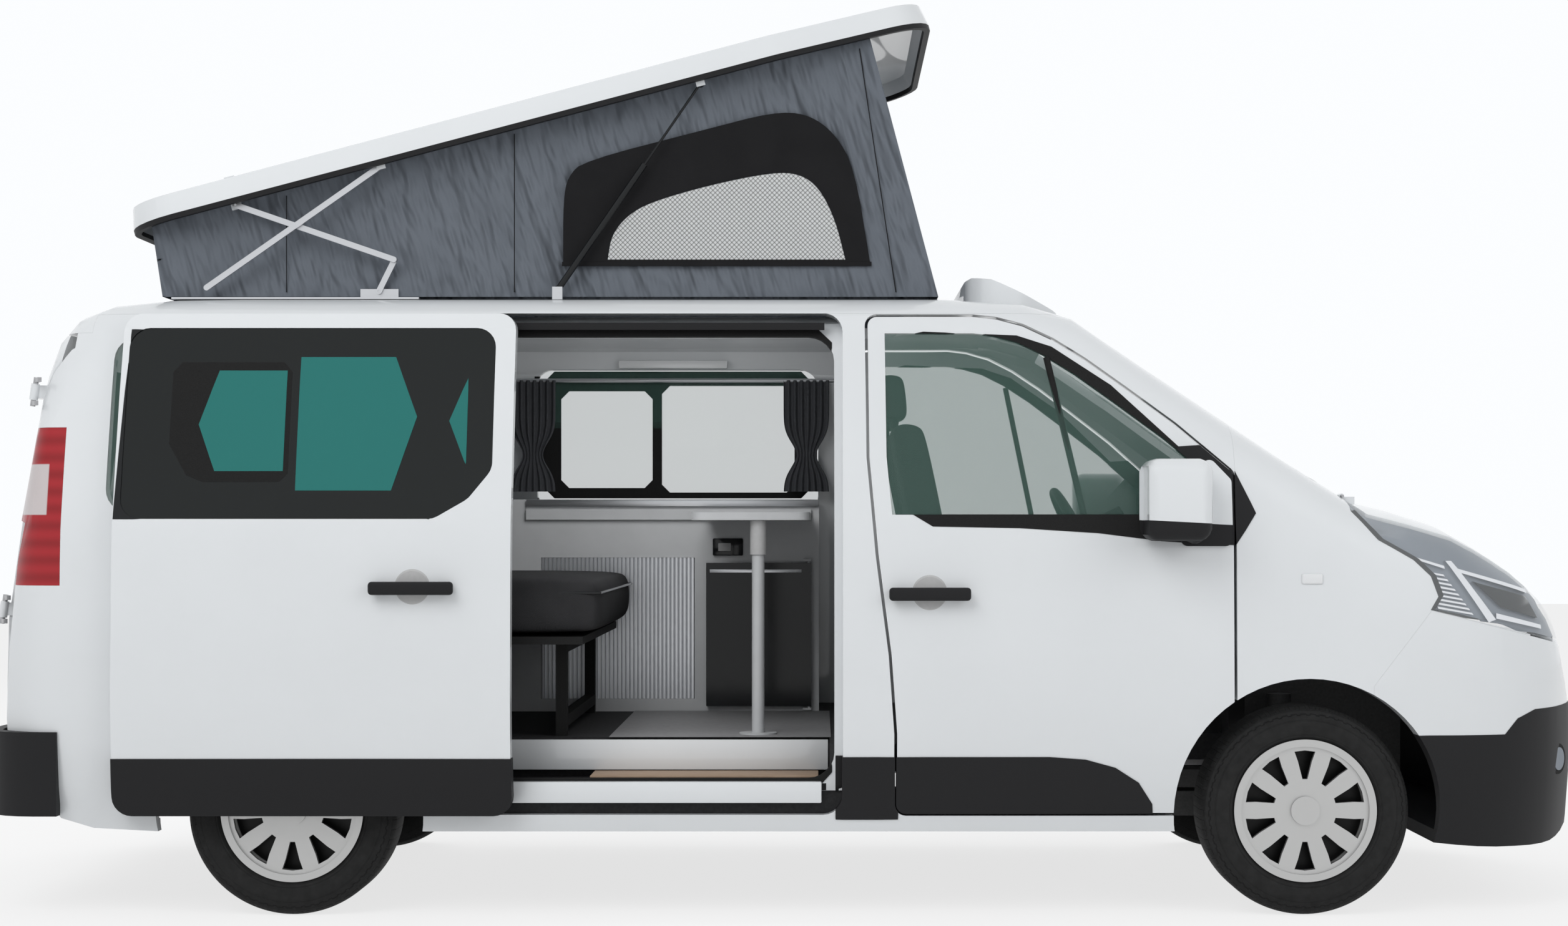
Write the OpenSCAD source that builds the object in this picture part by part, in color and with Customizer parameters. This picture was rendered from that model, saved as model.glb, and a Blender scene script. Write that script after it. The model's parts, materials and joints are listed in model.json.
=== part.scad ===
/* [Overall] */
// Distance between the axle centres
wheelbase = 3098; // [3050:1:3150]
// Front axle to the tip of the front bumper
front_overhang = 951; // [945:1:960]
// Rear axle to the back of the rear bumper
rear_overhang = 951; // [945:1:970]
// Width of the body at its crease, without mirrors
body_w = 1956; // [1940:1:1980]
// Height of the roof skin on the centre line
roof_h = 1915; // [1905:1:1925]

/* [Walls] */
// Thickness of the upper walls, pillars and roof
wall = 36; // [30:1:40]
// Depth of the lower walls with their lining
lining = 78; // [70:1:84]
// Thickness of the rear doors
rear_wall = 50; // [44:1:56]
// Thickness of the sliding door
slide_wall = 44; // [36:1:50]
// Thickness of the window panes
glass_t = 5; // [4:1:6]
// Shut line between a hinged panel and its frame
shut_gap = 9; // [8:0.5:12]
// Gap at which one piece seats on another
seat_gap = 0.3; // [0.2:0.05:0.5]

/* [Wheels] */
// Outer radius of the tyres
tyre_r = 320; // [310:1:330]
// Width of the tyres
tyre_w = 212; // [200:1:225]
// Radius of the rim's bead seat
rim_r = 206; // [200:1:210]
// Distance between the wheels' centre planes on one axle
track = 1616; // [1600:1:1630]
// Distance between the two steering axes
kingpin_track = 1460; // [1440:2:1480]
// Radius of the wheel arches
arch_r = 408; // [396:1:415]
// Radius of the wheel spindles
spindle_r = 30; // [25:1:34]
// Running clearance of a wheel on its spindle
running = 0.05; // [0.03:0.01:0.1]
// Spokes of the wheel covers
spokes = 10; // [8:1:12]

/* [Doors] */
// Rear edge of the cab doors ahead of the sliding door's opening
pillar_b = 103; // [95:1:115]
// Height of the doors' upper edge
door_top = 1838; // [1825:1:1842]
// Height of the doors' lower edge
door_low = 318; // [310:1:330]
// Length of the sliding door
slide_len = 1200; // [1150:1:1220]
// Distance by which the sliding door has been pushed back
slide_back = 995; // [900:5:1010]
// Distance by which the open sliding door stands out
slide_out = 58; // [56:1:66]
// Radius of the hinge pins
pin_r = 8; // [6:0.5:9]
// Clearance of a hinge pin in a door
pin_gap = 0.4; // [0.3:0.05:0.6]

/* [Lifting roof] */
// Length of the cap along its rim
cap_len = 2620; // [2560:5:2640]
// Width of the cap over its rim
cap_w = 1430; // [1410:2:1450]
// Height of the cap's crown above its rim
cap_h = 118; // [100:1:130]
// Thickness of the cap's shell
cap_t = 20; // [14:1:22]
// Angle by which the cap is raised
lift_angle = 14.78; // [14:0.01:15]
// Height of the black rim under the cap
rim_h = 16; // [12:1:20]
// Width over the fabric of the tent
tent_w = 1284; // [1270:2:1286]
// Thickness of the tent's walls
tent_t = 6; // [4:1:8]

/* [Living space] */
// Height of the floor
floor_h = 524; // [515:1:530]
// Height of the kitchen's worktop
worktop_h = 1287; // [1270:1:1300]
// Depth of the kitchen unit
kitchen_d = 400; // [380:1:420]
// Thickness of the cabinet boards
board = 16; // [12:1:20]
// Height of the bed's upper face
bed_h = 1040; // [1020:1:1060]
// Thickness of the bed cushions
cushion_h = 190; // [170:1:200]
// Height of the table top
table_h = 1235; // [1200:1:1250]

/* [Hidden] */
$fn = 48;
half_w = body_w / 2;
length = wheelbase + front_overhang + rear_overhang;
xf = length / 2 - front_overhang;
xr = xf - wheelbase;
// Front edge of the sliding door's opening
xb = xf - 1440;
// Half width of the hollow inside the lower walls
inner_w = half_w - lining;
big = 4000;

// Wall inset from the crease by height
SIDE = [[150, 90], [260, 55], [330, 38], [400, 22], [540, 6], [685, 0], [900, 6], [1080, 12], [1180, 18],
        [1260, 32], [1400, 60], [1600, 105], [1750, 145], [1850, 172], [1960, 205]];
SIDE_Z = [for (r = SIDE) r[0]];
// Steps across the roof and round its shoulder
TOP_STEPS = 5;
EDGE_STEPS = 4;
// The hollow's own steps, where no eye follows the curve
INNER_TOP_STEPS = 3;
INNER_EDGE_STEPS = 2;

// Body stations: place, roof height, crown, half width, shoulder inset, shoulder drop, underside
X = 0;
TOP = 1;
CROWN = 2;
HALF = 3;
INSET = 4;
DROP = 5;
LOW = 6;
STATIONS = [
    [xr - 901, 760, 5, half_w - 128, 110, 280, 430],
    [xr - 896, 950, 8, half_w - 110, 120, 380, 420],
    [xr - 842, 1325, 12, half_w - 66, 125, 400, 410],
    [xr - 788, 1700, 15, half_w - 36, 130, 380, 400],
    [xr - 755, 1800, 17, half_w - 25, 130, 300, 380],
    [xr - 700, 1862, 17, half_w - 17, 125, 210, 300],
    [xr - 600, roof_h - 18, 15, half_w - 9, 118, 140, 270],
    [xr - 400, roof_h - 2, 12, half_w - 3, 112, 110, 260],
    [xr - 200, roof_h, 12, half_w, 110, 100, 260],
    [xb + 341, roof_h, 12, half_w, 110, 100, 260],
    [xf - 849, roof_h - 10, 18, half_w, 108, 100, 260],
    [xf - 698, roof_h - 41, 34, half_w - 1, 105, 100, 260],
    [xf - 580, 1806, 52, half_w - 2, 102, 102, 260],
    [xf - 465, 1737, 66, half_w - 2, 100, 105, 260],
    [xf - 259, 1604, 78, half_w - 4, 98, 110, 260],
    [xf - 99, 1494, 76, half_w - 6, 102, 115, 255],
    [xf + 51, 1388, 66, half_w - 7, 112, 122, 250],
    [xf + 206, 1285, 56, half_w - 10, 130, 130, 240],
    [xf + 331, 1256, 54, half_w - 16, 138, 138, 230],
    [xf + 465, 1216, 54, half_w - 33, 142, 146, 215],
    [xf + 535, 1178, 52, half_w - 50, 142, 150, 208],
    [xf + 600, 1138, 50, half_w - 72, 140, 154, 204],
    [xf + 665, 1094, 46, half_w - 104, 136, 158, 202],
    [xf + 725, 1046, 42, half_w - 146, 132, 160, 200],
    [xf + 775, 998, 36, half_w - 194, 126, 156, 200],
    [xf + 815, 946, 28, half_w - 246, 120, 146, 202],
    [xf + 850, 870, 20, half_w - 306, 112, 130, 208],
    [xf + 885, 770, 14, half_w - 376, 104, 110, 218],
    [xf + 918, 670, 10, half_w - 450, 92, 86, 236],
    [xf + front_overhang - 8, 590, 6, half_w - 530, 76, 56, 300],
    [xf + front_overhang, 530, 4, half_w - 580, 60, 34, 380]];

// Half width of a station at height z, moved in by wall w and kept inside a flat lining
function side_y(s, z, w, flat) = s[HALF] - max(lookup(z, SIDE) + w, flat);
// Half outline of a station from the roof's middle down to the underside's middle
function half_ring(s, w, flat) =
    let (across = w > wall / 2 ? INNER_TOP_STEPS : TOP_STEPS,
         round = w > wall / 2 ? INNER_EDGE_STEPS : EDGE_STEPS,
         top = s[TOP] - w,
         low = s[LOW] + w,
         edge_z = top - s[CROWN],
         edge_y = side_y(s, edge_z, w, flat) - s[INSET],
         corner_z = edge_z - 2.5 * s[CROWN] / edge_y * s[INSET],
         corner_y = side_y(s, corner_z, w, flat),
         end_z = max(corner_z - s[DROP], low + 12),
         end_y = side_y(s, end_z, w, flat))
    concat(
        [for (i = [0:across]) let (f = i / across) [edge_y * f, top - s[CROWN] * pow(f, 2.5)]],
        [for (i = [1:round]) let (f = i / round, g = 1 - f)
            [g * g * edge_y + 2 * f * g * corner_y + f * f * end_y,
             g * g * edge_z + 2 * f * g * corner_z + f * f * end_z]],
        [for (i = [len(SIDE_Z) - 1:-1:0]) if (SIDE_Z[i] < end_z - 8 && SIDE_Z[i] > low + 8)
            [side_y(s, SIDE_Z[i], w, flat), SIDE_Z[i]]],
        [[side_y(s, low, w, flat), low], [0, low]]);
// Closed ring of a station in space
function ring(s, w, flat) =
    let (h = half_ring(s, w, flat))
    concat([for (p = h) [s[X], -p[0], p[1]]], [for (i = [len(h) - 2:-1:1]) [s[X], h[i][0], h[i][1]]]);
// Stations of the hollow: the ends move in by their own walls
function hollow(back, nose) =
    [for (s = STATIONS) concat([s[X] + (s[X] < xr - 500 ? back : s[X] > xf + 500 ? -nose : 0)],
                               [for (i = [1:6]) s[i]])];

module loft(stations, w = 0, flat = 0) {
    for (i = [0:len(stations) - 2])
        let (a = ring(stations[i], w, flat), b = ring(stations[i + 1], w, flat), n = len(a) + len(b))
            hull() polyhedron(points = concat(a, b), faces = [[for (k = [0:n - 1]) k]]);
}
// The hollow body: full wall depth below the belt, thin pillars above it
module shell() {
    difference() {
        loft(STATIONS);
        loft(hollow(rear_wall, wall), wall, lining);
    }
}
// A skin of thickness t that starts d below the outer face
module skin(d, t) {
    difference() {
        loft(hollow(d, d), d);
        loft(hollow(d + t, d + t), d + t);
    }
}

// Prism of a side view outline between two values of y
module side_prism(y0, y1) {
    translate([0, y1, 0]) rotate([90, 0, 0]) linear_extrude(y1 - y0) children();
}
// Prism of a rear view outline between two values of x
module cross_prism(x0, x1) {
    translate([x0, 0, 0]) rotate([90, 0, 90]) linear_extrude(x1 - x0) children();
}
// Outline with its corners rounded
module rounded(r) {
    offset(r, $fn = 24) offset(delta = -r) children();
}
module box(x0, x1, y0, y1, z0, z1) {
    translate([x0, y0, z0]) cube([x1 - x0, y1 - y0, z1 - z0]);
}
module rect(x0, x1, z0, z1) {
    translate([x0, z0]) square([x1 - x0, z1 - z0]);
}
module both_sides() {
    children();
    mirror([0, 1, 0]) children();
}
// Bar of thickness w between two points of a side view
module bar(a, b, r) {
    hull() {
        translate(a) circle(r, $fn = 24);
        translate(b) circle(r, $fn = 24);
    }
}
// The right side, or the left side
module on_side(side) {
    mirror([0, side == "left" ? 1 : 0, 0]) children();
}

// Shut lines and their places
cab_front = xf - 229;
cab_rear = xb + pillar_b;
belt_h = 1225;
roof_split = 1850;
rear_head = 1790;
rear_sill = 580;
rear_edge_y = half_w - 172;
screen_top = xf - 678;

module arch_outline(x, grow = 0) {
    translate([x, tyre_r]) circle(arch_r + grow, $fn = 64);
}
module cab_door_outline(grow = 0) {
    difference() {
        offset(delta = grow) rounded(28) polygon([
            [cab_rear, door_top], [cab_rear + 4, 1400], [cab_rear + 31, 1100], [cab_rear + 70, 800],
            [cab_rear + 87, 560], [cab_rear + 87, door_low], [cab_front, door_low], [cab_front, 1352],
            [xf - 399, 1499], [xf - 549, 1612], [xf - 669, 1700], [xf - 769, 1764], [xf - 859, 1808],
            [xf - 939, 1830], [xf - 1010, door_top]]);
        arch_outline(xf, -grow);
    }
}
// Window of a cab door: the door's own outline, a frame's width further in
module cab_window_outline(inset = 0) {
    intersection() {
        offset(delta = -52 - inset) cab_door_outline();
        rect(-big, big, belt_h + inset, big);
    }
}
module slide_outline(inset = 0) {
    offset(delta = -inset) rounded(55) rect(xb + 20 - slide_len, xb + 20, door_low, door_top + 7);
}
module slide_window_outline(inset = 0) {
    offset(delta = -inset) rounded(60) polygon([
        [xb - 1160, 1212], [xb - 215, 1212], [xb - 112, 1272], [xb - 40, 1362],
        [xb - 40, 1798], [xb - 1160, 1798]]);
}
module side_opening_outline() {
    rounded(80) rect(xb - 1150, xb, 419, 1782);
}
// Windows of the living space: the middle one on the left side only, the rear one on both
module middle_window_outline(inset = 0) {
    offset(delta = -inset) rounded(70) rect(xb - 1110, xb - 50, belt_h + 10, 1775);
}
module rear_window_outline(inset = 0) {
    offset(delta = -inset) rounded(70) rect(xr - 560, xr + 350, belt_h + 10, 1775);
}
// Rear face: outline of one rear door and of its window, seen from behind
module rear_door_outline(inset = 0) {
    offset(delta = -inset) rounded(40) rect(4, rear_edge_y - 6, rear_sill, rear_head - 6);
}
module rear_window_hole(inset = 0) {
    offset(delta = -inset) rounded(60) rect(80, rear_edge_y - 110, 1235, 1705);
}
// Slab that follows the slope of the rear face
module rear_slab() {
    side_prism(-big, big) polygon([
        [xr - 1000, rear_sill - 100], [xr - 840, rear_sill - 100], [xr - 840, 950], [xr - 732, 1700],
        [xr - 700, 1900], [xr - 1000, 1900]]);
}
module screen_outline(inset = 0) {
    offset(delta = -inset) rounded(60) polygon([
        [screen_top, -645], [screen_top, 645], [xf - 250, 722], [xf + 8, 772], [xf + 95, 610],
        [xf + 140, 360], [xf + 152, 0], [xf + 140, -360], [xf + 95, -610], [xf + 8, -772], [xf - 250, -722]]);
}
module bonnet_outline(grow = 0) {
    offset(delta = grow) union() for (s = [-1, 1]) polygon([for (p = [
        [255, 0], [245, 250], [215, 500], [140, 772], [200, 816], [329, 826], [506, 798], [625, 757],
        [725, 700], [780, 600], [806, 400], [816, 0]]) [xf + p[0], s * p[1]]]);
}
// Head lamp seen from the side: a swept corner lamp
module lamp_outline(grow = 0) {
    offset(delta = grow) polygon([
        [xf + 141, 1236], [xf + 215, 1148], [xf + 319, 1088], [xf + 372, 1038], [xf + 395, 976], [xf + 371, 936],
        [xf + 590, 884], [xf + 800, 836], [xf + 900, 836], [xf + 900, 1000], [xf + 600, 1250], [xf + 141, 1350]]);
}
// Joint of the front bumper with the wing, and the front face below the bonnet
module bumper_outline(grow = 0) {
    offset(delta = grow) polygon([
        [xf + 195, 705], [xf + 374, 934], [xf + 590, 880], [xf + 800, 830], [xf + 1000, 830],
        [xf + 1000, 100], [xf + 195, 100]]);
}
module face_outline(grow = 0) {
    offset(delta = grow) rect(-560, 560, 820, 1010);
}
// The cab's roof, the header over the screen and the header over the rear doors
module roof_region(grow = 0) {
    box(xr - 1000, screen_top - 12 + grow, -big, big, roof_split - grow, big);
    box(xf - 900, screen_top - 12 + grow, -690 - grow, 690 + grow, 1780 - grow, big);
    box(xr - 1000, xr - 640 + grow, -rear_edge_y - grow, rear_edge_y + grow, rear_head - grow, big);
}
// The right half of the walls, without roof, floor and rear face
module side_region() {
    cross_prism(xr - 1000, xf + 1000) polygon([
        [-1300, 100], [-1300, roof_split], [-690, roof_split], [-690, 1240], [-inner_w + 20, 1200],
        [-inner_w + 20, 100]]);
}
module wheel_room() {
    for (x = [xf, xr]) side_prism(-big, big) arch_outline(x);
}
module tail_lamp_region(grow = 0) {
    box(xr - 1000, xr - 694 + grow, rear_edge_y + 12 - grow, big, 1010 - grow, 1493 + grow);
}

module body_side(side) {
    on_side(side) difference() {
        union() {
            intersection() {
                shell();
                side_region();
            }
            if (side == "right") difference() {
                intersection() {
                    skin(0, frame_d);
                    side_prism(-big, -500) slide_outline(-26);
                }
                box(-big, big, -inner_w, 0, 0, floor_h + seat_gap);
            }
        }
        if (side == "right") difference() {
            side_prism(-big, -500) slide_outline(-6);
            loft(hollow(rebate, rebate), rebate);
        }
        roof_region(seat_gap);
        box(cab_front + shut_gap - seat_gap, big, -big, big, 0, big);
        box(xr - 1000, xr - 690, -rear_edge_y, 0, 0, big);
        wheel_room();
        side_prism(-big, 0) {
            cab_door_outline(shut_gap);
            rear_window_outline();
            if (side == "left") middle_window_outline();
            else side_opening_outline();
        }
        linear_extrude(big) screen_outline();
        mirror([0, 1, 0]) tail_lamp_region(seat_gap);
        track_slot(side);
    }
}
// Slots of the sliding door's runners: along the right rear wall and in the step
module track_slot(side) {
    if (side == "right") {
        box(xr - 480, xb - 1180, -big, -half_w + 22, track_z - 14, track_z + 14);
        box(xb - 1115, xb - 25, -inner_w - 8, -inner_w + 1, 383, 405);
    }
}
track_z = 1120;

module body_left() { color("white") body_side("left"); }
module body_right() { color("white") body_side("right"); }

module roof_frame() {
    color("white") difference() {
        intersection() {
            shell();
            roof_region();
        }
        linear_extrude(big) rounded(120) rect(hatch_x0, hatch_x1, -hatch_y, hatch_y);
        linear_extrude(big) screen_outline();
    }
}
// Hatch in the roof under the tent
hatch_x0 = xb - 1250;
hatch_x1 = xb + 230;
hatch_y = 520;

module front_wings() {
    color("white") both_sides() difference() {
        intersection() {
            shell();
            box(cab_front + shut_gap, big, -big, -560, 200, big);
        }
        box(0, big, -inner_w + 60, 0, 0, 1130);
        wheel_room();
        linear_extrude(big) screen_outline();
        linear_extrude(big) cowl_outline();
        translate([0, 0, 900]) linear_extrude(big) bonnet_outline(shut_gap);
        side_prism(-big, big) bumper_outline(seat_gap);
        side_prism(-big, big) lamp_outline(seat_gap);
        cross_prism(xf + 600, big) face_outline(seat_gap);
        bonnet_pin(bonnet_pin_r * 2 + 3, 50);
        bonnet_pin(bonnet_pin_r + seat_gap, 72);
    }
}
// Panel between screen and bonnet, sunk below both
module cowl_outline(inset = 0) {
    offset(delta = -inset) difference() {
        polygon([for (p = [[-4, -772], [90, -700], [150, -690], [262, -400], [262, 400], [150, 690], [90, 700],
                           [-4, 772]]) [xf + p[0], p[1]]]);
        screen_outline(-seat_gap);
        bonnet_outline(shut_gap);
    }
}
module cowl() {
    color("dimgray") intersection() {
        skin(26, 8);
        translate([0, 0, 1100]) linear_extrude(big) cowl_outline(1);
    }
}
module windscreen() {
    color("lightcyan") intersection() {
        skin(3, glass_t);
        translate([0, 0, 1200]) linear_extrude(big) screen_outline(seat_gap);
    }
}
// Axis of the bonnet's hinge in the gap behind its rear corners
bonnet_axis = [xf + 141, 1284];
bonnet_hinge_y = 735;
bonnet_pin_r = 4;
module bonnet_pin(r, w) {
    for (s = [-1, 1]) translate([bonnet_axis[0], s * bonnet_hinge_y + w / 2, bonnet_axis[1]])
        rotate([90, 0, 0]) cylinder(r = r, h = w, $fn = 32);
}
bonnet_lip = 12;
module bonnet() {
    color("white") difference() {
        union() {
            intersection() {
                shell();
                translate([0, 0, 900]) linear_extrude(big) bonnet_outline();
            }
            bonnet_pin(bonnet_pin_r * 2, 36);
            for (s = [-1, 1]) translate([0, s * bonnet_hinge_y, 0])
                box(bonnet_axis[0], bonnet_axis[0] + 40, -18, 18, bonnet_axis[1] - 26, bonnet_axis[1] - 2);
        }
        bonnet_pin(bonnet_pin_r + pin_gap, 60);
        // Thin lip round the front half, so the edge lifts clear of lamps and bumper
        difference() {
            intersection() {
                loft(hollow(bonnet_lip, bonnet_lip), bonnet_lip);
                box(xf + 400, big, -big, big, 0, big);
            }
            translate([0, 0, 800]) linear_extrude(big) bonnet_outline(-110);
        }
    }
}
module headlamps() {
    color("gainsboro") both_sides() difference() {
        intersection() {
            shell();
            side_prism(-big, -560 - shut_gap) lamp_outline();
        }
        box(0, xf + 200, -760, 0, 0, big);
        translate([0, 0, 900]) linear_extrude(big) bonnet_outline(shut_gap);
        side_prism(-big, big) bumper_outline(seat_gap);
    }
}
// Slots of the grille and of the intake below it: low edge, height, half width
SLOTS = [[846, 20, 470], [880, 20, 480], [300, 34, 420], [352, 34, 430], [404, 34, 430]];
module bumper_front() {
    color("white") difference() {
        intersection() {
            shell();
            union() {
                side_prism(-big, big) bumper_outline();
                cross_prism(xf + 600, big) face_outline();
            }
        }
        translate([0, 0, 900]) linear_extrude(big) bonnet_outline(shut_gap);
        wheel_room();
        for (s = SLOTS) cross_prism(xf + 700, big) rect(-s[2], s[2], s[0], s[0] + s[1]);
    }
}
bumper_low = 310;
bumper_top = 565;
bumper_t = 40;
module rear_bumper() {
    color("dimgray") difference() {
        translate([0, 0, bumper_low]) linear_extrude(bumper_top - bumper_low) difference() {
            rear_bumper_plan();
            offset(delta = -bumper_t) rear_bumper_plan();
            rect(xr - 700, big, -big, big);
        }
        loft(STATIONS, -seat_gap, -1);
        wheel_room();
    }
}
module rear_bumper_plan() {
    rounded(180) rect(xr - rear_overhang, xr + 500, -half_w + 12, half_w - 12);
}
module tail_lamps() {
    color("firebrick") both_sides() intersection() {
        shell();
        mirror([0, 1, 0]) tail_lamp_region();
        side_region();
    }
}
module side_windows() {
    color("slategray") {
        on_side("left") intersection() {
            skin(3, glass_t);
            side_prism(-big, -500) {
                middle_window_outline(seat_gap);
                rear_window_outline(seat_gap);
            }
        }
        intersection() {
            skin(3, glass_t);
            side_prism(-big, -500) rear_window_outline(seat_gap);
        }
    }
}

// The sliding door where it stands open
module slide_place() {
    translate([-slide_back, -slide_out, 0]) children();
}
module sliding_door() {
    color("white") difference() {
        slide_place() difference() {
            intersection() {
                skin(0, slide_wall);
                side_prism(-big, -500) slide_outline();
            }
            side_prism(-big, 0) slide_window_outline();
        }
        loft(STATIONS, -6, -6);
    }
}
module sliding_door_glass() {
    color("darkslategray") slide_place() intersection() {
        skin(3, glass_t);
        side_prism(-big, -500) slide_window_outline(seat_gap);
    }
}
// Depth of the rebate in which the closed sliding door lies, and of its frame
rebate = slide_wall + 8;
frame_d = rebate + 26;
// Rails of the sliding door: start, end, outer and inner y, low and high z
upper_rail_y = half_w - lookup(1800, SIDE) - rebate;
// Inner face of the open door at a height
function slide_inner(z) = half_w - lookup(z, SIDE) - slide_wall + slide_out;
module door_tracks() {
    color("dimgray") {
        box(xb - 1110, xb - 30, -upper_rail_y - 16, -upper_rail_y - seat_gap, 1800, 1822);
        box(xb - 1030, xb - 985, -slide_inner(1814) + 24, -upper_rail_y - 16, 1806, 1816);
        box(xb - 1110, xb - 30, -inner_w + 0.4, -inner_w + 6, 385, 403);
        box(xb - 1030, xb - 985, -slide_inner(390) + 1, -inner_w + 1, 388, 400);
        box(xr - 479, xb - 1190, -half_w + 14, -half_w + 22 - seat_gap, track_z - 13, track_z + 13);
        box(xr - 470, xr - 420, -slide_inner(track_z) + 2, -half_w + 14, track_z - 9, track_z + 9);
    }
}

// Hinge axis of a cab door, measured from its front edge and the body's crease
cab_axis = [cab_front - 120, half_w - 34];
CAB_HINGE_Z = [770, 1100];
pocket_h = 80;
bulkhead_x = cab_front + 40;
module cab_hinge_room() {
    for (z = CAB_HINGE_Z) {
        box(cab_axis[0] - pin_r - 8, cab_front + 30, -cab_axis[1] - pin_r - 4, 0, z - pocket_h / 2,
            z + pocket_h / 2);
        translate([cab_axis[0], -cab_axis[1], z - pocket_h]) cylinder(r = pin_r + pin_gap, h = 2 * pocket_h);
    }
}
module cab_door(side) {
    on_side(side) difference() {
        intersection() {
            shell();
            side_prism(-big, -690) cab_door_outline();
        }
        side_prism(-big, 0) cab_window_outline();
        cab_hinge_room();
    }
}
module cab_glass(side) {
    on_side(side) intersection() {
        skin(3, glass_t);
        side_prism(-big, -690) cab_window_outline(seat_gap);
    }
}
module front_door_right() { color("white") cab_door("right"); }
module front_door_left() { color("white") cab_door("left"); }
module door_glass_right() { color("slategray") cab_glass("right"); }
module door_glass_left() { color("slategray") cab_glass("left"); }

// Door mirror: a foot on the door's front corner, an arm and a tall rounded head
mirror_x = xf - 422;
mirror_y = half_w + 162;
module mirror_head() {
    hull() for (z = [1190, 1345], x = [mirror_x - 52, mirror_x + 62], y = [mirror_y - 150, mirror_y - 45])
        translate([x, -y, z]) sphere(45, $fn = 16);
}
module door_mirror(side) {
    on_side(side) difference() {
        union() {
            mirror_head();
            hull() {
                translate([mirror_x + 70, -half_w - 10, 1175]) sphere(38, $fn = 16);
                translate([mirror_x + 20, -half_w - 60, 1200]) sphere(38, $fn = 16);
            }
            intersection() {
                loft(STATIONS, -14, -20);
                side_prism(-big, -700) rounded(20) polygon([
                    [xf - 390, 1130], [cab_front - 6, 1130], [cab_front - 6, 1330], [xf - 300, 1400],
                    [xf - 390, 1300]]);
            }
        }
        loft(STATIONS, -seat_gap, -1);
        box(mirror_x - 200, mirror_x - 84, -mirror_y, -mirror_y + 150, 1165, 1370);
    }
}
module mirror_right() { color("white") door_mirror("right"); }
module mirror_left() { color("white") door_mirror("left"); }

// Rear doors turn on sloping axes behind the rear face
REAR_HINGE_Z = [934, 1606];
function rear_face_x(z) = lookup(z, [[760, xr - 901], [950, xr - 896], [1700, xr - 788]]);
rear_axis_gap = 14;
rear_axis_y = rear_edge_y;
rear_tilt = atan2(rear_face_x(1606) - rear_face_x(934), 1606 - 934);
// A rod of radius r and length h on the rear axis, round height z, on the right side
module rear_pin(z, r, h) {
    translate([rear_face_x(z) - rear_axis_gap, -rear_axis_y, z]) rotate([0, rear_tilt, 0])
        cylinder(r = r, h = h, center = true, $fn = 32);
}
module rear_door(side) {
    on_side(side) difference() {
        union() {
            intersection() {
                shell();
                rear_slab();
                cross_prism(xr - 1000, xr - 600) mirror([1, 0]) rear_door_outline();
            }
            for (z = REAR_HINGE_Z) {
                rear_pin(z, pin_r + 5, 50);
                difference() {
                    translate([rear_face_x(z) - rear_axis_gap - 4, -rear_axis_y, z - 20]) cube([60, 70, 40]);
                    loft(hollow(rear_wall / 2, wall), wall / 2);
                }
            }
        }
        cross_prism(xr - 1000, xr - 600) mirror([1, 0]) rear_window_hole();
        for (z = REAR_HINGE_Z) rear_pin(z, pin_r + pin_gap, 120);
    }
}
module rear_glass(side) {
    on_side(side) intersection() {
        skin(3, glass_t);
        cross_prism(xr - 1000, xr - 700) mirror([1, 0]) rear_window_hole(seat_gap);
    }
}
module rear_door_right() { color("white") rear_door("right"); }
module rear_door_left() { color("white") rear_door("left"); }
module rear_glass_right() { color("slategray") rear_glass("right"); }
module rear_glass_left() { color("slategray") rear_glass("left"); }

// Pins and brackets of all hinged panels, fixed to the body
hinge_reach = 46;
module door_hinges() {
    color("dimgray") {
        both_sides() {
            for (z = CAB_HINGE_Z) {
                translate([cab_axis[0], -cab_axis[1], z - pocket_h / 2 - 20]) cylinder(r = pin_r, h = pocket_h + 40);
                box(cab_axis[0] - 10, cab_axis[0] + 10, -cab_axis[1], -half_w + 160, z - 24, z + 24);
                box(cab_axis[0] - 10, bulkhead_x - seat_gap, -half_w + 160, -half_w + 176, z - 24, z + 24);
            }
            for (z = REAR_HINGE_Z) {
                rear_pin(z, pin_r, 90);
                for (e = [-1, 1]) translate([rear_face_x(z) - rear_axis_gap + e * 5, -rear_axis_y, z + e * 36])
                    rotate([0, 0, -60]) box(-6, hinge_reach, -6, 6, -7, 7);
            }
        }
        bonnet_pin(bonnet_pin_r, 70);
    }
}

// Plan of the hollow between the lower walls, as wide as they leave it
function inner_at(x) = lookup(x, [for (s = hollow(rear_wall, wall)) [s[X], s[HALF] - lining]]);
module hollow_plan(x0, x1, gap) {
    xs = concat([x0], [for (s = hollow(rear_wall, wall)) if (s[X] > x0 && s[X] < x1) s[X]], [x1]);
    polygon(concat([for (x = xs) [x, inner_at(x) - gap]],
                   [for (i = [len(xs) - 1:-1:0]) [xs[i], gap - inner_at(xs[i])]]));
}

// Floor, sills, step, wheel houses, bulkhead and rear crossmember
floor_t = 84;
floor_low = floor_h - floor_t;
floor_end = xr - 836;
cab_floor_end = xf - 399;
tunnel_y = 500;
step_y = 640;
step_h = 400;
house_y = 640;
house_r = 428;
house_top = 765;
sheet = 18;
tow_y = 520;
tow_z = 262;
tow_r = 11;
tow_len = 70;
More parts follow.
